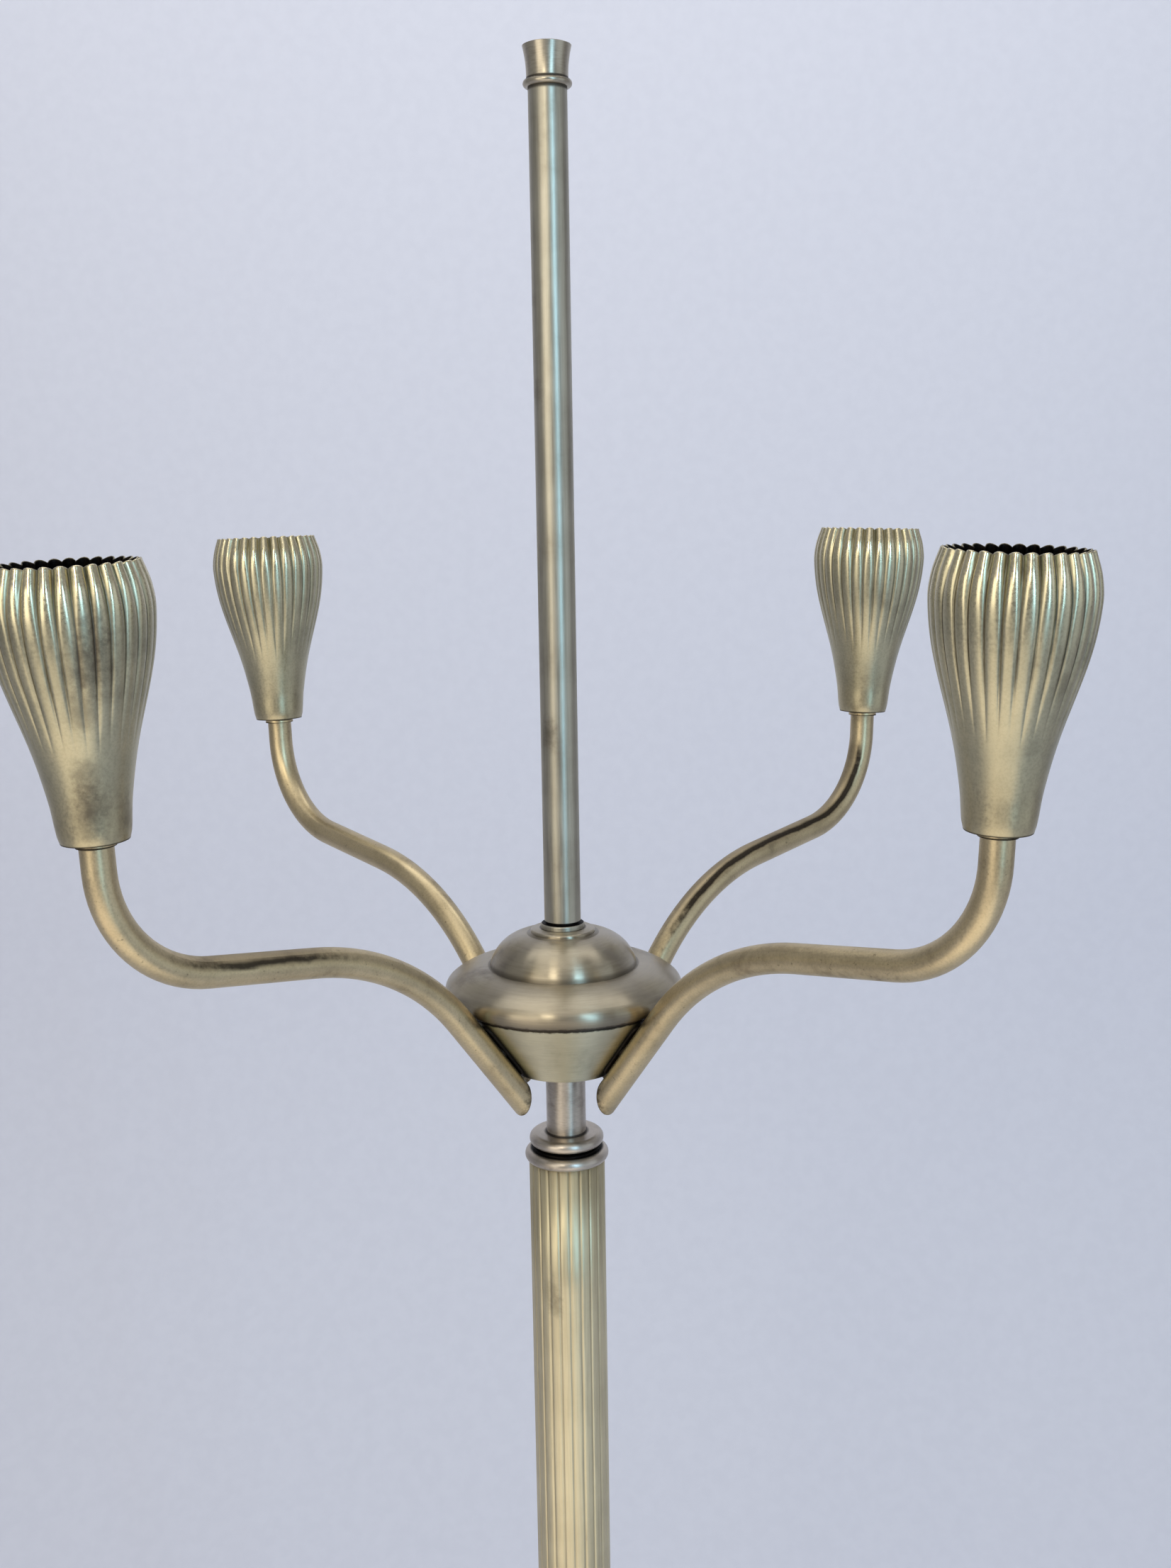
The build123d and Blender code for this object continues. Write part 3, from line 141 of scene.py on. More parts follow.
# Smudges on the stem, the column and the cups: centre, radius and share
STEM_SMUDGES = (
    ((-0.0036, -0.0053, 1.299), 5.0 * MM, 0.6),
    ((-0.0050, -0.0040, 1.412), 4.0 * MM, 0.4),
)
COLUMN_SMUDGES = (
    ((-0.0055, -0.0121, 1.0995), 5.0 * MM, 0.35),
    ((-0.0045, -0.0125, 1.094), 4.0 * MM, 0.4),
)
CUP_SMUDGES = {
    "front_left": (
        ((-0.1136, -0.1396, 1.3405), 8.5 * MM, 0.85),
        ((-0.1127, -0.1409, 1.3500), 6.0 * MM, 0.6),
        ((-0.1170, -0.1390, 1.3260), 6.0 * MM, 0.45),
        ((-0.1187, -0.1325, 1.2985), 7.0 * MM, 0.8),
        ((-0.1190, -0.1333, 1.3085), 5.5 * MM, 0.6),
    ),
    "front_right": (
        ((0.1330, -0.1390, 1.3290), 5.0 * MM, 0.4),
        ((0.1390, -0.1340, 1.3370), 6.0 * MM, 0.35),
    ),
    "rear_left": (((-0.1170, 0.1020, 1.3250), 5.0 * MM, 0.45),),
    "rear_right": (((0.1230, 0.1010, 1.3400), 5.0 * MM, 0.3),),
}

# Length over which an arm's streak fades at each end, and over which its ends are ragged
STREAK_FADE = 14 * MM
STREAK_RAGGED = 30 * MM

# Level directions across the arms, to the front
RIGHT_FRONT = (0.7071, -0.7071, 0.0)
LEFT_FRONT = (-0.7071, -0.7071, 0.0)

# Turn of a brushed surface's highlight, so that it runs across the brushing
QUARTER_TURN = 0.25

# Changes of the brushing's noise along one round of a turned surface
BRUSH_ALONG = 3.0

# Studio paper, its sweep of floor and backdrop in metres, and the levels of the lamps and the world
PAPER_LIGHT = (0.74, 0.745, 0.82)
PAPER_DARK = (0.72, 0.725, 0.8)
SWEEP_BACK = 1.6
SWEEP_FRONT = -7.0
SWEEP_HALF_WIDTH = 7.0
SWEEP_HEIGHT = 5.5
SWEEP_CURVE = 0.8
CURVE_STEPS = 16
LAMP_LEVEL = 0.9
WORLD_LEVEL = 0.41
WORLD_COLOUR = (0.8, 0.82, 0.86, 1.0)
HUB = (0.0, 0.0, 1.28)


class Shader:
    """Adds nodes to one material and links them in order."""

    def __init__(self, name):
        self.material = bpy.data.materials.new(name)
        self.material.use_nodes = True
        self.tree = self.material.node_tree
        self.bsdf = self.tree.nodes["Principled BSDF"]

    def add(self, kind, **settings):
        node = self.tree.nodes.new(kind)
        for key, value in settings.items():
            setattr(node, key, value)
        return node

    def put(self, socket, value):
        if isinstance(value, tuple):
            socket.default_value = (*value, 1.0) if len(socket.default_value) == 4 else value
        elif isinstance(value, (int, float)):
            socket.default_value = value
        else:
            self.tree.links.new(value, socket)

    def coords(self):
        return self.add("ShaderNodeTexCoord").outputs["Object"]

    def attribute(self, name):
        return self.add("ShaderNodeAttribute", attribute_name=name).outputs["Fac"]

    def parts(self, vector):
        split = self.add("ShaderNodeSeparateXYZ")
        self.put(split.inputs[0], vector)
        return split.outputs["X"], split.outputs["Y"], split.outputs["Z"]

    def joined(self, x, y, z):
        node = self.add("ShaderNodeCombineXYZ")
        for socket, value in zip(node.inputs, (x, y, z)):
            self.put(socket, value)
        return node.outputs["Vector"]

    def vector(self, operation, a, b, output="Vector"):
        node = self.add("ShaderNodeVectorMath", operation=operation)
        self.put(node.inputs[0], a)
        self.put(node.inputs[1], b)
        return node.outputs[output]

    def math(self, operation, a, b=0.0, clamp=False):
        node = self.add("ShaderNodeMath", operation=operation, use_clamp=clamp)
        self.put(node.inputs[0], a)
        self.put(node.inputs[1], b)
        return node.outputs["Value"]

    def noise(self, vector, scale, detail=4.0, rough=0.55):
        node = self.add("ShaderNodeTexNoise")
        self.put(node.inputs["Vector"], vector)
        self.put(node.inputs["Scale"], scale)
        self.put(node.inputs["Detail"], detail)
        self.put(node.inputs["Roughness"], rough)
        return node.outputs["Fac"]

    def spread(self, value, low, high, to_low=0.0, to_high=1.0):
        """Soft step from one number to another while a value goes from low to high."""
        node = self.add("ShaderNodeMapRange", interpolation_type="SMOOTHSTEP")
        keys = ("Value", "From Min", "From Max", "To Min", "To Max")
        for key, number in zip(keys, (value, low, high, to_low, to_high)):
            self.put(node.inputs[key], number)
        return node.outputs["Result"]

    def mix(self, share, a, b):
        node = self.add("ShaderNodeMix", data_type="RGBA")
        colours = [socket for socket in node.inputs if socket.type == "RGBA"]
        self.put(node.inputs["Factor"], share)
        self.put(colours[0], a)
        self.put(colours[1], b)
        return next(socket for socket in node.outputs if socket.type == "RGBA")

    def band(self, value, middle, half, soft):
        """One near a level, falling to nought beyond half its width."""
        away = self.math("ABSOLUTE", self.math("SUBTRACT", value, middle))
        return self.spread(away, half, half + soft, 1.0, 0.0)

    def bump(self, height, distance, strength=1.0):
        node = self.add("ShaderNodeBump")
        self.put(node.inputs["Height"], height)
        self.put(node.inputs["Distance"], distance)
        self.put(node.inputs["Strength"], strength)
        self.put(self.bsdf.inputs["Normal"], node.outputs["Normal"])

    def set(self, **values):
        for key, value in values.items():
            self.put(self.bsdf.inputs[key.replace("_", " ")], value)


class Brass(Shader):
    """Satin brass with clouds in its colour, to which patina is added layer by layer."""

    def __init__(self, name, light, dark, cloud_scale=55.0):
        super().__init__(name)
        self.place = self.coords()
        self.x, self.y, self.z = self.parts(self.place)
        flat = self.vector("MULTIPLY", self.place, (1.0, 1.0, 0.0))
        self.radius = self.vector("LENGTH", flat, (0.0, 0.0, 0.0), "Value")
        self.clouds = self.noise(self.place, cloud_scale, detail=6.0, rough=0.6)
        self.ragged = self.noise(self.place, 420.0, detail=5.0, rough=0.65)
        self.colour = self.mix(self.spread(self.clouds, 0.34, 0.68), light, dark)
        self.tarnish_and_shade = 0.0
        self.polish = 0.0

    def darken(self, mask, tint, share=1.0):
        """Lays a darker tint over the metal and roughens it there, for tarnish and for painted shade."""
        mask = self.math("MULTIPLY", mask, share, clamp=True)
        self.colour = self.mix(mask, self.colour, tint)
        self.tarnish_and_shade = self.math("MAXIMUM", self.tarnish_and_shade, mask)

    def patches(self, low, high, share):
        """Brown oxide where the clouds are thickest."""
        self.darken(self.spread(self.clouds, low, high), OXIDE_AND_SHADE, share)

    def uneven(self, value, width):
        """A value shifted to either side by the ragged noise, over a width."""
        shift = self.math("MULTIPLY", self.math("SUBTRACT", self.ragged, 0.5), width)
        return self.math("ADD", value, shift)

    def smudges(self, places):
        """Soft smudges round some points, taller than wide, with ragged edges."""
        for centre, radius, share in places:
            away = self.vector("MULTIPLY", self.vector("SUBTRACT", self.place, centre), (1.0, 1.0, 0.6))
            away = self.uneven(self.vector("LENGTH", away, (0, 0, 0), "Value"), radius)
            self.darken(self.spread(away, 0.0, radius, 1.0, 0.0), OXIDE_AND_SHADE, share)

    def brushed_round(self, fineness=2600.0):
        """Noise drawn out along circles about the lamp's axis."""
        turn = self.vector("NORMALIZE", self.vector("MULTIPLY", self.place, (1, 1, 0)), (0, 0, 0))
        across = self.math("MULTIPLY", self.math("ADD", self.radius, self.z), fineness)
        x, y, _ = self.parts(self.vector("MULTIPLY", turn, (BRUSH_ALONG,) * 3))
        return self.noise(self.joined(x, y, across), 1.0, detail=3.0)

    def drawn(self, fineness=1500.0, pull=0.03):
        """Noise drawn out along the upright, as on a drawn tube."""
        return self.noise(self.vector("MULTIPLY", self.place, (1.0, 1.0, pull)), fineness, detail=3.0)

    def cast(self, fineness=1500.0):
        """Even noise, as on a cast or tumbled surface."""
        return self.noise(self.place, fineness, detail=3.0, rough=0.6)

    def finish(self, grain, smooth, rough, relief, anisotropic=0.0):
        """Roughness and relief that follow the grain, and the material that results."""
        fine = self.spread(grain, 0.3, 0.7, smooth, rough)
        roughness = self.math("ADD", fine, self.math("MULTIPLY", self.tarnish_and_shade, 0.22))
        roughness = self.math("SUBTRACT", roughness, self.math("MULTIPLY", self.polish, 0.13))
        tone = self.mix(self.spread(grain, 0.32, 0.62, 0.16, 0.0), self.colour, OXIDE_AND_SHADE)
        self.set(Base_Color=tone, Metallic=1.0, Roughness=roughness, Anisotropic=anisotropic)
        if anisotropic:
            self.set(Anisotropic_Rotation=QUARTER_TURN)
            tangent = self.add("ShaderNodeTangent", direction_type="RADIAL", axis="Z")
            self.put(self.bsdf.inputs["Tangent"], tangent.outputs["Tangent"])
        self.bump(grain, relief, 0.5)
        return self.material


def plain(name, light, dark, rough, metal=0.0, scale=120.0, relief=0.05 * MM):
    """Cast or moulded surface with small clouds of colour and relief."""
    s = Shader(name)
    clouds = s.noise(s.coords(), scale, detail=5.0)
    share = s.spread(clouds, 0.3, 0.7)
    s.set(Base_Color=s.mix(share, light, dark), Metallic=metal)
    s.set(Roughness=s.spread(clouds, 0.3, 0.7, rough, rough + 0.12))
    s.bump(clouds, relief, 0.3)
    return s.material


def paper_finish():
    """Pale studio paper, see-through from behind so that the lamp shows from there too."""
    s = Shader("studio_paper")
    clouds = s.noise(s.coords(), 60.0, detail=5.0)
    s.set(Base_Color=s.mix(s.spread(clouds, 0.3, 0.7), PAPER_LIGHT, PAPER_DARK))
    s.set(Roughness=s.spread(clouds, 0.3, 0.7, 0.85, 0.95))
    mixed = s.add("ShaderNodeMixShader")
    s.put(mixed.inputs[0], s.add("ShaderNodeNewGeometry").outputs["Backfacing"])
    s.put(mixed.inputs[1], s.bsdf.outputs["BSDF"])
    s.put(mixed.inputs[2], s.add("ShaderNodeBsdfTransparent").outputs["BSDF"])
    s.put(s.tree.nodes["Material Output"].inputs["Surface"], mixed.outputs["Shader"])
    return s.material


def turned(name, light, dark):
    """Spun or turned brass, brushed round the lamp's axis."""
    b = Brass(name, light, dark)
    b.patches(0.6, 0.78, 0.5)
    return b.finish(b.brushed_round(), 0.3, 0.39, 0.012 * MM, anisotropic=0.45)


def ring_finish():
    """Turned rings and neck: pinkish brass, with painted shade: black in the groove between the rings
    and dark at the neck's foot.
    """
    b = Brass("ring_brass", (0.55, 0.49, 0.415), (0.45, 0.4, 0.335))
    # Painted shade: black in the groove between the rings
    gap = b.band(b.z, RING_GAP_LEVEL, 1.1 * MM, 0.5 * MM)
    b.darken(b.math("MULTIPLY", gap, b.spread(b.radius, *RING_GAP_FADE, 1.0, 0.0)), RECESS_BLACK)
    # Painted shade: a dark line at the neck's foot
    foot = b.band(b.z, NECK_FOOT_LEVEL, 0.35 * MM, 0.5 * MM)
    b.darken(b.math("MULTIPLY", foot, b.spread(b.radius, *NECK_FOOT_FADE, 1.0, 0.0)), GRIME_AND_SHADE, 0.8)
    b.patches(0.56, 0.75, 0.55)
    return b.finish(b.brushed_round(), 0.33, 0.42, 0.008 * MM, anisotropic=0.5)


def cone_finish():
    """Spun cone: grime in the seam above it, and painted shade with some grime where the arms lie along
    it.
    """
    b = Brass("cone_brass", (0.57, 0.525, 0.375), (0.485, 0.445, 0.315))
    level = b.uneven(b.z, 1.6 * MM)
    b.darken(b.spread(level, SEAM_LEVEL - 1.3 * MM, SEAM_LEVEL - 0.5 * MM), GRIME_AND_SHADE, 0.95)
    # Painted shade with some grime along the crevices where the arms lie against the cone
    side = b.math("SUBTRACT", b.math("ABSOLUTE", b.x), b.math("ABSOLUTE", b.y))
    b.darken(b.spread(b.math("ABSOLUTE", side), *ARM_SHADE_AND_GRIME_FADE, 1.0, 0.0), GRIME_AND_SHADE, 0.8)
    b.patches(0.58, 0.8, 0.35)
    return b.finish(b.brushed_round(), 0.36, 0.45, 0.008 * MM, anisotropic=0.85)


def dome_finish():
    """Canopy and dome: brushed round, with grime along the seam, and painted shade: darker low on the
    canopy and in dark lines under the stem's seat, at the shoulder and at the dome's lower edge.
    """
    b = Brass("dome_brass", (0.435, 0.38, 0.28), (0.35, 0.302, 0.218), cloud_scale=38.0)
    level = b.uneven(b.z, 1.4 * MM)
    b.darken(b.spread(level, SEAM_LEVEL + 0.5 * MM, SEAM_LEVEL + 1.4 * MM, 1.0, 0.0), GRIME_AND_SHADE, 0.95)
    # Painted shade: darker over the canopy's lowest 7 mm, to tone down the floor's reflection there
    b.darken(b.spread(b.z, SEAM_LEVEL, SEAM_LEVEL + 7.0 * MM, 1.0, 0.0), OXIDE_AND_SHADE, 0.55)
    # Painted shade: dark lines at the shoulder's foot, under the stem's seat and at the dome's lower
    # edge
    b.darken(b.band(b.radius, SHOULDER_SHADE_RADIUS, 0.35 * MM, 0.5 * MM), GRIME_AND_SHADE, 0.4)
    b.darken(b.band(b.radius, STEM_SEAT_SHADE_RADIUS, 0.3 * MM, 0.5 * MM), GRIME_AND_SHADE, 0.7)
    b.darken(b.band(b.radius, DOME_EDGE_SHADE_RADIUS, 0.3 * MM, 0.5 * MM), GRIME_AND_SHADE, 0.45)
    b.patches(0.57, 0.74, 0.5)
    return b.finish(b.brushed_round(3200.0), 0.3, 0.38, 0.003 * MM, anisotropic=0.9)


def stem_finish():
    """Drawn stem and its seat, with painted shade: a black gap between them and a dark line under the
    finial.
    """
    b = Brass("stem_brass", (0.46, 0.43, 0.345), (0.39, 0.36, 0.285))
    # Painted shade: a black line in the gap between the stem and its seat, and a dark line under the
    # finial
    b.darken(b.band(b.z, STEM_FOOT_LEVEL - 0.4 * MM, 0.42 * MM, 0.15 * MM), RECESS_BLACK)
    b.darken(b.band(b.z, FINIAL_FOOT_LEVEL, 0.4 * MM, 0.9 * MM), GRIME_AND_SHADE, 0.8)
    b.smudges(STEM_SMUDGES)
    b.patches(0.6, 0.78, 0.3)
    return b.finish(b.drawn(), 0.34, 0.42, 0.005 * MM)


def finial_finish():
    """Turned knob and its ring, with painted shade between them."""
    b = Brass("finial_brass", (0.48, 0.43, 0.335), (0.4, 0.35, 0.265))
    # Painted shade: a dark line in the gap between the knob and its ring
    b.darken(b.band(b.z, FINIAL_FOOT_LEVEL + 2.4 * MM, 0.3 * MM, 0.5 * MM), GRIME_AND_SHADE, 0.85)
    b.patches(0.56, 0.75, 0.4)
    return b.finish(b.brushed_round(), 0.28, 0.37, 0.008 * MM, anisotropic=0.3)


def arm_finish(name, across, streak):
    """Bent arm: satin brass with a dark streak along its upper side over part of its reach.

    The streak has the reaches between which it lies, the slants of the surface towards
    the direction across, between which it lies too, and its share.
    """
    start, stop, low, high, share = streak
    b = Brass(name, (0.6, 0.49, 0.3), (0.5, 0.405, 0.245), cloud_scale=70.0)
    normal = b.add("ShaderNodeNewGeometry").outputs["Normal"]
    up = b.spread(b.parts(normal)[2], 0.05, 0.25)
    wander = b.math("MULTIPLY", b.math("SUBTRACT", b.clouds, 0.5), 0.3)
    facing = b.math("ADD", b.vector("DOT_PRODUCT", normal, across, "Value"), wander)
    reach = b.uneven(b.radius, STREAK_RAGGED)
    stretch = b.math(
        "MULTIPLY",
        b.spread(reach, start - STREAK_FADE, start + STREAK_FADE),
        b.spread(reach, stop - STREAK_FADE, stop + STREAK_FADE, 1.0, 0.0),
    )
    upper = b.math("MULTIPLY", up, stretch)
    line = b.math(
        "MULTIPLY",
        b.spread(facing, low - 0.16, low + 0.08),
        b.spread(facing, high - 0.05, high + 0.08, 1.0, 0.0),
    )
    b.patches(0.58, 0.74, 0.4)
    pits = b.spread(b.noise(b.place, 650.0, detail=3.0), 0.66, 0.74)
    b.darken(pits, GRIME_AND_SHADE, 0.4)
    beside = b.spread(facing, low - 0.1, low + 0.1, 1.0, 0.0)
    b.darken(b.math("MULTIPLY", upper, beside), OXIDE_AND_SHADE, 0.45 * share)
    b.darken(b.math("MULTIPLY", upper, line), GRIME_AND_SHADE, share)
    # Darker towards the arm's lower end
    tip = b.uneven(b.radius, ARM_TIP_RAGGED)
    b.darken(b.spread(tip, ARM_TIP_REACH, ARM_TIP_REACH + ARM_TIP_FADE, 1.0, 0.0), GRIME_AND_SHADE, 0.8)
    return b.finish(b.cast(), 0.34, 0.43, 0.005 * MM)


def saddle_shade_finish():
    """Saddle strips and nipples under the arms: painted near-black as shade between the arms and the
    cone, and rough so they show no glints.
    """
    b = Brass("saddle_painted_shade", (0.03, 0.025, 0.02), (0.015, 0.012, 0.01))
    return b.finish(b.cast(), 0.55, 0.65, 0.02 * MM)


def seat_finish():
    """Seat rings under the cups: brass like the arms, with grime in patches."""
    b = Brass("seat_brass", (0.66, 0.53, 0.31), (0.5, 0.39, 0.23), cloud_scale=160.0)
    b.darken(b.spread(b.clouds, 0.52, 0.62), GRIME_AND_SHADE, 0.6)
    # Painted shade: black lines at the ring's top and bottom, in the gaps to the cup and to the arm
    for level in (SEAT_LEVEL, SEAT_LEVEL + CUP_ABOVE_ARM):
        b.darken(b.band(b.z, level, 0.25 * MM, 0.3 * MM), RECESS_BLACK, 0.9)
    return b.finish(b.cast(), 0.34, 0.43, 0.005 * MM)


def cup_finish(name, smudges, lines):
    """Antiqued cup: dark in its grooves, with a painted highlight on its lobes near the rim, where they
    are polished smoother too, black inside.
    """
    b = Brass(name, (0.515, 0.465, 0.31), (0.425, 0.39, 0.265), cloud_scale=60.0)
    groove, rise, inside = b.attribute("groove"), b.attribute("rise"), b.attribute("inside")
    crest = b.spread(groove, 0.0, 0.35, 1.0, 0.0)
    # Painted highlight: lighter colour on the lobes' crests near the rim, which are also polished
    # smoother
    polish_and_painted_highlight = b.math("MULTIPLY", crest, b.spread(rise, 0.76, 0.94))
    b.colour = b.mix(b.math("MULTIPLY", polish_and_painted_highlight, 0.8), b.colour, (0.76, 0.67, 0.45))
    b.colour = b.mix(b.spread(rise, 0.3, 0.05, 0.0, 0.45), b.colour, (0.48, 0.395, 0.235))
    b.polish = polish_and_painted_highlight
    upright = b.noise(b.vector("MULTIPLY", b.place, (1.0, 1.0, 0.2)), 300.0, detail=5.0, rough=0.65)
    lined = b.math("MULTIPLY", b.spread(groove, 0.42, 0.95), b.spread(upright, 0.25, 0.6, 0.45, 1.0))
    b.darken(lined, GRIME_AND_SHADE, lines)
    b.patches(0.58, 0.76, 0.4)
    # Painted shade: a dark line at the cup's foot, in the gap to its seat ring
    b.darken(b.spread(rise, 0.001, 0.008, 1.0, 0.0), GRIME_AND_SHADE, 0.9)
    b.smudges(smudges)
    b.darken(inside, RECESS_BLACK)
    return b.finish(b.cast(1300.0), 0.29, 0.38, 0.005 * MM)


def column_finish():
    """Reeded column: paler brass with dark lines in its grooves."""
    b = Brass("column_brass", (0.68, 0.6, 0.4), (0.6, 0.525, 0.345), cloud_scale=40.0)
    groove = b.attribute("groove")
    upright = b.noise(b.vector("MULTIPLY", b.place, (1.0, 1.0, 0.08)), 260.0, detail=5.0, rough=0.6)
    lined = b.math("MULTIPLY", b.spread(groove, 0.35, 0.95), b.spread(upright, 0.3, 0.62, 0.4, 1.0))
    b.darken(lined, OXIDE_AND_SHADE, 0.2)
    b.darken(b.spread(upright, 0.6, 0.75), OXIDE_AND_SHADE, 0.2)
    b.darken(b.spread(b.z, COLUMN_TOP_LEVEL - 60 * MM, COLUMN_TOP_LEVEL), OXIDE_AND_SHADE, 0.16)
    b.smudges(COLUMN_SMUDGES)
    return b.finish(b.drawn(1200.0), 0.38, 0.48, 0.006 * MM)


finishes = {
    "felt": plain("felt", (0.03, 0.05, 0.03), (0.015, 0.026, 0.016), 0.85, scale=900.0, relief=0.2 * MM),
    "iron": plain("iron", (0.1, 0.1, 0.1), (0.05, 0.045, 0.042), 0.6, 1.0),
    "base_brass": turned("base_brass", (0.44, 0.395, 0.29), (0.35, 0.31, 0.225)),
    "steel": plain("steel", (0.55, 0.55, 0.55), (0.4, 0.4, 0.4), 0.35, 1.0),
    "rubber": plain("rubber", (0.02, 0.02, 0.02), (0.03, 0.03, 0.03), 0.6),
    "black_plastic": plain("black_plastic", (0.02, 0.018, 0.015), (0.032, 0.028, 0.022), 0.4),
    "nickel": plain("nickel", (0.6, 0.58, 0.52), (0.45, 0.43, 0.38), 0.25, 1.0),
    "column_brass": column_finish(),
    "ring_brass": ring_finish(),
    "cone_brass": cone_finish(),
    "dome_brass": dome_finish(),
    "terminal_plastic": plain("terminal_plastic", (0.7, 0.66, 0.58), (0.6, 0.56, 0.5), 0.5),
    "stem_brass": stem_finish(),
    "finial_brass": finial_finish(),
    "lead_plastic": plain("lead_plastic", (0.05, 0.04, 0.03), (0.07, 0.05, 0.04), 0.5),
    # The saddle strips and nipples are painted near-black, as shade between the arms and the cone
    "arm_brass": saddle_shade_finish(),
    "porcelain": plain("porcelain", (0.75, 0.73, 0.68), (0.65, 0.62, 0.56), 0.45),
    "shell_brass": turned("shell_brass", (0.6, 0.5, 0.3), (0.5, 0.4, 0.24)),
}
piece_finishes = {
    "arm_nipples": finishes["arm_brass"],
    "cup_seats": seat_finish(),
    "arm_front_left": arm_finish("arm_front_left", RIGHT_FRONT, (98 * MM, 146 * MM, 0.74, 0.93, 0.92)),
    "arm_front_right": arm_finish("arm_front_right", LEFT_FRONT, (97 * MM, 106 * MM, 0.5, 0.8, 0.5)),
    "arm_rear_left": arm_finish("arm_rear_left", LEFT_FRONT, (126 * MM, 150 * MM, 0.45, 0.6, 0.4)),
    "arm_rear_right": arm_finish("arm_rear_right", RIGHT_FRONT, (52 * MM, 178 * MM, 0.42, 0.76, 0.97)),
    "cup_front_left": cup_finish("cup_front_left", CUP_SMUDGES["front_left"], 0.8),
    "cup_front_right": cup_finish("cup_front_right", CUP_SMUDGES["front_right"], 0.85),
    "cup_rear_left": cup_finish("cup_rear_left", CUP_SMUDGES["rear_left"], 0.55),
    "cup_rear_right": cup_finish("cup_rear_right", CUP_SMUDGES["rear_right"], 0.6),
}

for part in record["subparts"]:
    finish = piece_finishes.get(part["node"]) or finishes[part["material_slot"]]
    slots = nodes[part["node"]].data.materials
    for index in range(len(slots)):
        slots[index] = finish


def smooth_curve(points, height):
    """Value at a height on a smooth curve through points of value and height."""
    last = len(points) - 1
    span = next((i for i in range(last) if height <= points[i + 1][1]), last - 1)
    (a, low), (b, high) = points[span], points[span + 1]

    def slope(i):
        before, after = points[max(i - 1, 0)], points[min(i + 1, last)]
        return (after[0] - before[0]) / (after[1] - before[1])

    t = (height - low) / (high - low)
    rise = high - low
    bend_a = (2 * t**3 - 3 * t**2 + 1) * a + (t**3 - 2 * t**2 + t) * rise * slope(span)
    bend_b = (3 * t**2 - 2 * t**3) * b + (t**3 - t**2) * rise * slope(span + 1)
    return bend_a + bend_b


def eased(value, low, high):
    """Soft step from nought to one while a value goes from low to high."""
    share = max(0.0, min(1.0, (value - low) / (high - low)))
    return share * share * (3 - 2 * share)


def closed_sleeve(name, rows, count, to_world, attributes):
    """Mesh of rows of points round an axis, joined row to row and the last row to the first."""
    points = [to_world @ Vector(point) for row in rows for point in row]
    faces = []
    total = len(rows)
    for row in range(total):
        above = (row + 1) % total
        for step in range(count):
            beside = (step + 1) % count
            faces.append(
                (row * count + step, row * count + beside, above * count + beside, above * count + step)
            )
    mesh = bpy.data.meshes.new(name)
    mesh.from_pydata(points, [], faces)
    for key, values in attributes.items():
        mesh.attributes.new(key, "FLOAT", "POINT").data.foreach_set("value", values)
    mesh.shade_smooth()
    piece = bpy.data.objects.new(name, mesh)
    scene.collection.objects.link(piece)
    return piece


def dress(piece, node, finish):
    """Lets a mesh stand for a CAD node, with its finish."""
    piece.data.materials.append(finish)
    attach(piece, "stand")
    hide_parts(node)


def across_steps(steps):
    """Places across one lobe or reed, from -1 to 1, gathered towards the grooves."""
    even = [2 * step / steps - 1 for step in range(steps)]
    return [abs(t) ** LOBE_GATHER * (1 if t > 0 else -1) for t in even]


def cup_frame(place):
    """Frame of a cup in the lamp's frame: at its foot, along its axis and leaning outwards."""
    mount = next(m for m in record["mounts"] if m["name"] == f"socket_{place}")
    axis = Vector(mount["axis"]).normalized()
    foot = Vector(mount["pos_m"]) - axis * (SOCKET_ABOVE_ARM - CUP_ABOVE_ARM)
    out = Vector((axis.x, axis.y, 0.0)).normalized()
    across = (out - axis * out.dot(axis)).normalized()
    turned_to = Matrix((across, axis.cross(across), axis)).transposed().to_4x4()
    return Matrix.Translation(foot) @ turned_to


def cup_section():
    """Rows up the outside, over the lip and down the inside: level, height, inset and share within."""
    lip = CUP_WALL / 2
    body = CUP_HEIGHT - lip
    first = body / CUP_ROWS
    heights = [first * (step / CUP_FOOT_ROWS) ** 2 for step in range(CUP_FOOT_ROWS)]
    heights += [first * row for row in range(1, CUP_ROWS + 1)]
    inside = [body - (body - CUP_FLOOR) * step / INSIDE_ROWS for step in range(INSIDE_ROWS + 1)]
    section = [(height, height, 0.0, 0.0) for height in heights]
    for step in range(1, LIP_ROWS):
        turn = pi * step / LIP_ROWS
        section.append((body, body + lip * sin(turn), lip - lip * cos(turn), step / LIP_ROWS))
    return section + [(height, height, CUP_WALL, 1.0) for height in inside]


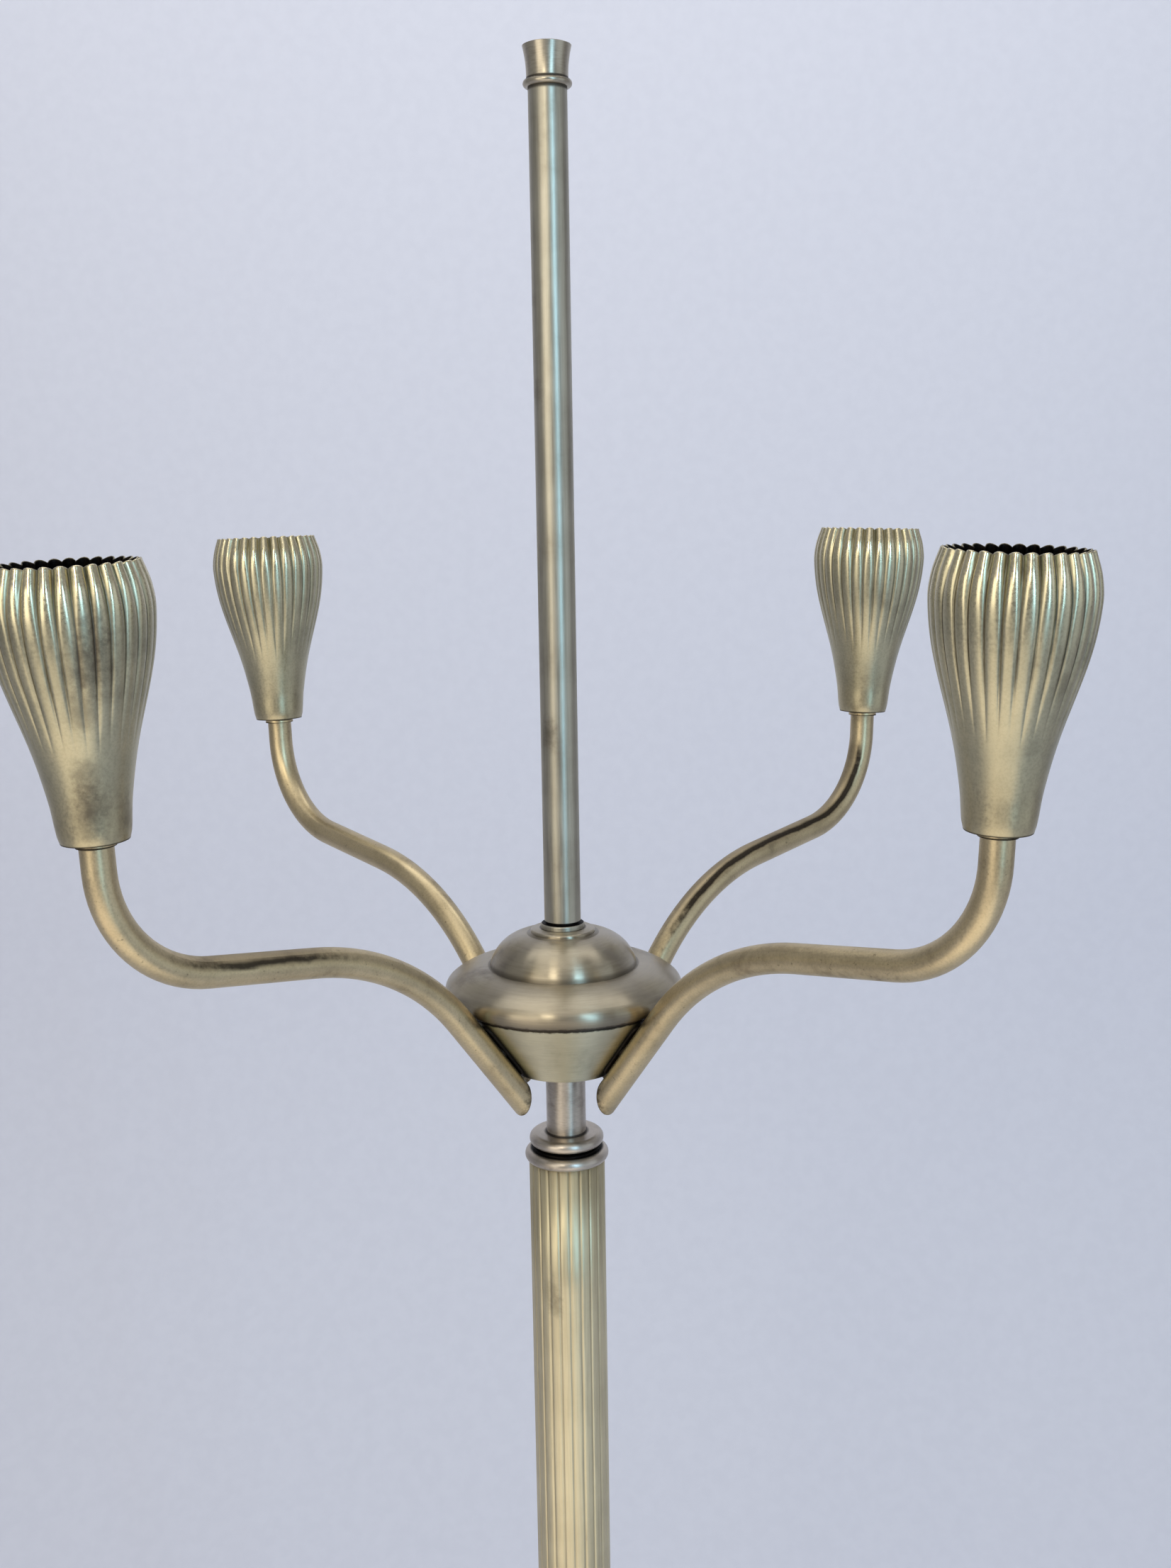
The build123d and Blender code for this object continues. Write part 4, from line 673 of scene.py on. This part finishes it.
def make_cup(place, index):
    """Fluted cup with a scalloped rim; its lobes differ a little in depth from cup to cup."""
    rows, groove, rise, dark = [], [], [], []
    steps = across_steps(LOBE_STEPS)
    for level, height, inset, within in cup_section():
        crest = smooth_curve(CUP_OUTLINE, level / MM) * MM
        share = eased(level, FLUTE_START, FLUTE_FULL)
        scallop = eased(level, RIM_START, CUP_HEIGHT)
        dip = RIM_DIP * eased(level, RIM_DIP_START, CUP_HEIGHT)
        row = []
        for lobe in range(CUP_LOBES):
            uneven = 1 + FLUTE_UNEVEN * (sin(LOBE_PHASE * lobe + CUP_PHASE * index) - 1)
            flute, rim = FLUTE_DEPTH * share * uneven, RIM_DEPTH * scallop * uneven
            for t in steps:
                angle = (lobe + t / 2) * 2 * pi / CUP_LOBES
                radius = crest - flute * abs(t) ** LOBE_SQUARE - rim * t * t - inset
                row.append((radius * cos(angle), radius * sin(angle), height - dip * t * t))
                groove.append(abs(t) ** 3 * share)
                rise.append(level / CUP_HEIGHT)
                dark.append(eased(within, 0.3, 0.9))
        rows.append(row)
    count = CUP_LOBES * LOBE_STEPS
    for height, within in ((CUP_FLOOR, 1.0), (0.0, 0.0)):
        ring = [2 * pi * step / count - pi / CUP_LOBES for step in range(count)]
        rows.append([(CUP_HOLE * cos(turn), CUP_HOLE * sin(turn), height) for turn in ring])
        groove += [0.0] * count
        rise += [0.0] * count
        dark += [within] * count
    name = f"cup_{place}"
    attributes = {"groove": groove, "rise": rise, "inside": dark}
    cup = closed_sleeve(f"fluted_{name}", rows, count, cup_frame(place), attributes)
    dress(cup, name, piece_finishes[name])


def make_column():
    """Reeded column tube, from the CAD tube's foot to its top."""
    low, high = (corner[2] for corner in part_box("column_tube"))
    steps = across_steps(REED_STEPS)
    outside, shade = [], []
    for reed in range(COLUMN_REEDS):
        for t in steps:
            angle = (reed + t / 2) * 2 * pi / COLUMN_REEDS + REED_TURN
            edge = eased(abs(t), REED_EDGE, 1.0)
            outside.append((COLUMN_RADIUS - REED_CROWN * t * t - REED_GROOVE * edge, angle))
            shade.append(edge)
    count = len(outside)
    levels = [low + (high - low) * row / COLUMN_ROWS for row in range(COLUMN_ROWS + 1)]
    rows = [[(r * cos(turn), r * sin(turn), level) for r, turn in outside] for level in levels]
    bore = [(COLUMN_BORE * cos(turn), COLUMN_BORE * sin(turn)) for _, turn in outside]
    rows += [[(x, y, level) for x, y in bore] for level in (high, low)]
    groove = shade * len(levels) + [0.0] * (2 * count)
    column = closed_sleeve("reeded_column", rows, count, Matrix.Identity(4), {"groove": groove})
    dress(column, "column_tube", finishes["column_brass"])


def make_spring():
    """The switch's spring as a piece of its own, with its own copy of the mesh, on the stand."""
    node = nodes["switch_spring"]
    spring = bpy.data.objects.new("pressed_spring", node.data.copy())
    spring.matrix_world = node.matrix_world.copy()
    scene.collection.objects.link(spring)
    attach(spring, "stand")
    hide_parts("switch_spring")
    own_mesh(spring)


def make_sweep():
    """Pale studio sweep: floor and backdrop in one piece."""
    outline = [(SWEEP_FRONT, 0.0)]
    for step in range(CURVE_STEPS + 1):
        turn = step / CURVE_STEPS * pi / 2
        y = SWEEP_BACK - SWEEP_CURVE + SWEEP_CURVE * sin(turn)
        z = SWEEP_CURVE - SWEEP_CURVE * cos(turn)
        outline.append((y, z))
    outline.append((SWEEP_BACK, SWEEP_HEIGHT))
    points = []
    for y, z in outline:
        points.extend([(-SWEEP_HALF_WIDTH, y, z), (SWEEP_HALF_WIDTH, y, z)])
    rows = range(len(outline) - 1)
    faces = [(2 * row, 2 * row + 1, 2 * row + 3, 2 * row + 2) for row in rows]
    mesh = bpy.data.meshes.new("studio_sweep")
    mesh.from_pydata(points, [], faces)
    mesh.shade_smooth()
    mesh.materials.append(paper_finish())
    sweep = bpy.data.objects.new("studio_sweep", mesh)
    scene.collection.objects.link(sweep)


def softbox(name, place, target, width, height, power, colour):
    """Large soft lamp that faces a point."""
    light = bpy.data.lights.new(name, "AREA")
    light.shape = "RECTANGLE"
    light.size = width
    light.size_y = height
    light.energy = power * LAMP_LEVEL
    light.color = colour
    lamp = bpy.data.objects.new(name, light)
    lamp.location = place
    lamp.rotation_euler = (Vector(target) - Vector(place)).to_track_quat("-Z", "Y").to_euler()
    scene.collection.objects.link(lamp)


def make_world():
    """Plain pale light from all sides."""
    world = bpy.data.worlds.new("studio")
    scene.world = world
    world.use_nodes = True
    background = world.node_tree.nodes["Background"]
    background.inputs["Color"].default_value = WORLD_COLOUR
    background.inputs["Strength"].default_value = WORLD_LEVEL


def make_camera():
    """Camera at its place, along its heading and pitch and turned by its roll."""
    heading = radians(CAMERA_HEADING)
    pitch = radians(CAMERA_PITCH)
    roll = radians(CAMERA_ROLL)
    forward = Vector((cos(heading) * cos(pitch), sin(heading) * cos(pitch), sin(pitch)))
    level_right = forward.cross(Vector((0, 0, 1))).normalized()
    level_up = level_right.cross(forward)
    right = level_right * cos(roll) + level_up * sin(roll)
    up = level_up * cos(roll) - level_right * sin(roll)
    lens = bpy.data.cameras.new("camera")
    lens.sensor_fit = "VERTICAL"
    lens.sensor_height = SENSOR_HEIGHT
    lens.lens = FOCAL_PIXELS / PHOTO_HEIGHT * SENSOR_HEIGHT
    lens.clip_start = CAMERA_NEAR
    camera = bpy.data.objects.new("camera", lens)
    turned_camera = Matrix((right, up, -forward)).transposed().to_4x4()
    camera.matrix_world = Matrix.Translation(CAMERA_PLACE) @ turned_camera
    scene.collection.objects.link(camera)
    bpy.context.scene.camera = camera


for index, place in enumerate(("rear_right", "rear_left", "front_left", "front_right")):
    make_cup(place, index)
make_column()
make_spring()
make_sweep()

softbox("warm_window", (-1.45, -2.0, 1.45), HUB, 1.3, 1.5, 15.0, (1.0, 0.93, 0.8))
softbox("cool_window", (1.15, -2.15, 1.45), HUB, 0.34, 1.7, 13.5, (0.38, 0.7, 1.0))
softbox("cool_fill", (2.4, -0.9, 1.3), HUB, 1.6, 2.2, 6.5, (0.72, 0.86, 1.0))
softbox("high_warm", (-0.55, -2.15, 2.35), HUB, 0.4, 0.6, 10.0, (1.0, 0.93, 0.78))
softbox("high_cool", (0.85, -2.05, 2.1), HUB, 0.24, 0.5, 6.0, (0.42, 0.72, 1.0))
softbox("ceiling", (-0.2, -0.9, 3.1), HUB, 2.2, 1.8, 11.0, (1.0, 0.96, 0.9))
softbox("floor_bounce", (-0.3, -1.45, 0.12), (-0.3, -1.45, 1.28), 2.2, 1.8, 12.0, (1.0, 0.86, 0.64))
softbox("backdrop_light", (0.0, 0.4, 3.0), (0.0, 1.6, 1.0), 2.4, 0.6, 14.0, (1.0, 1.0, 1.0))
make_world()
make_camera()
scene.view_settings.view_transform = "Standard"
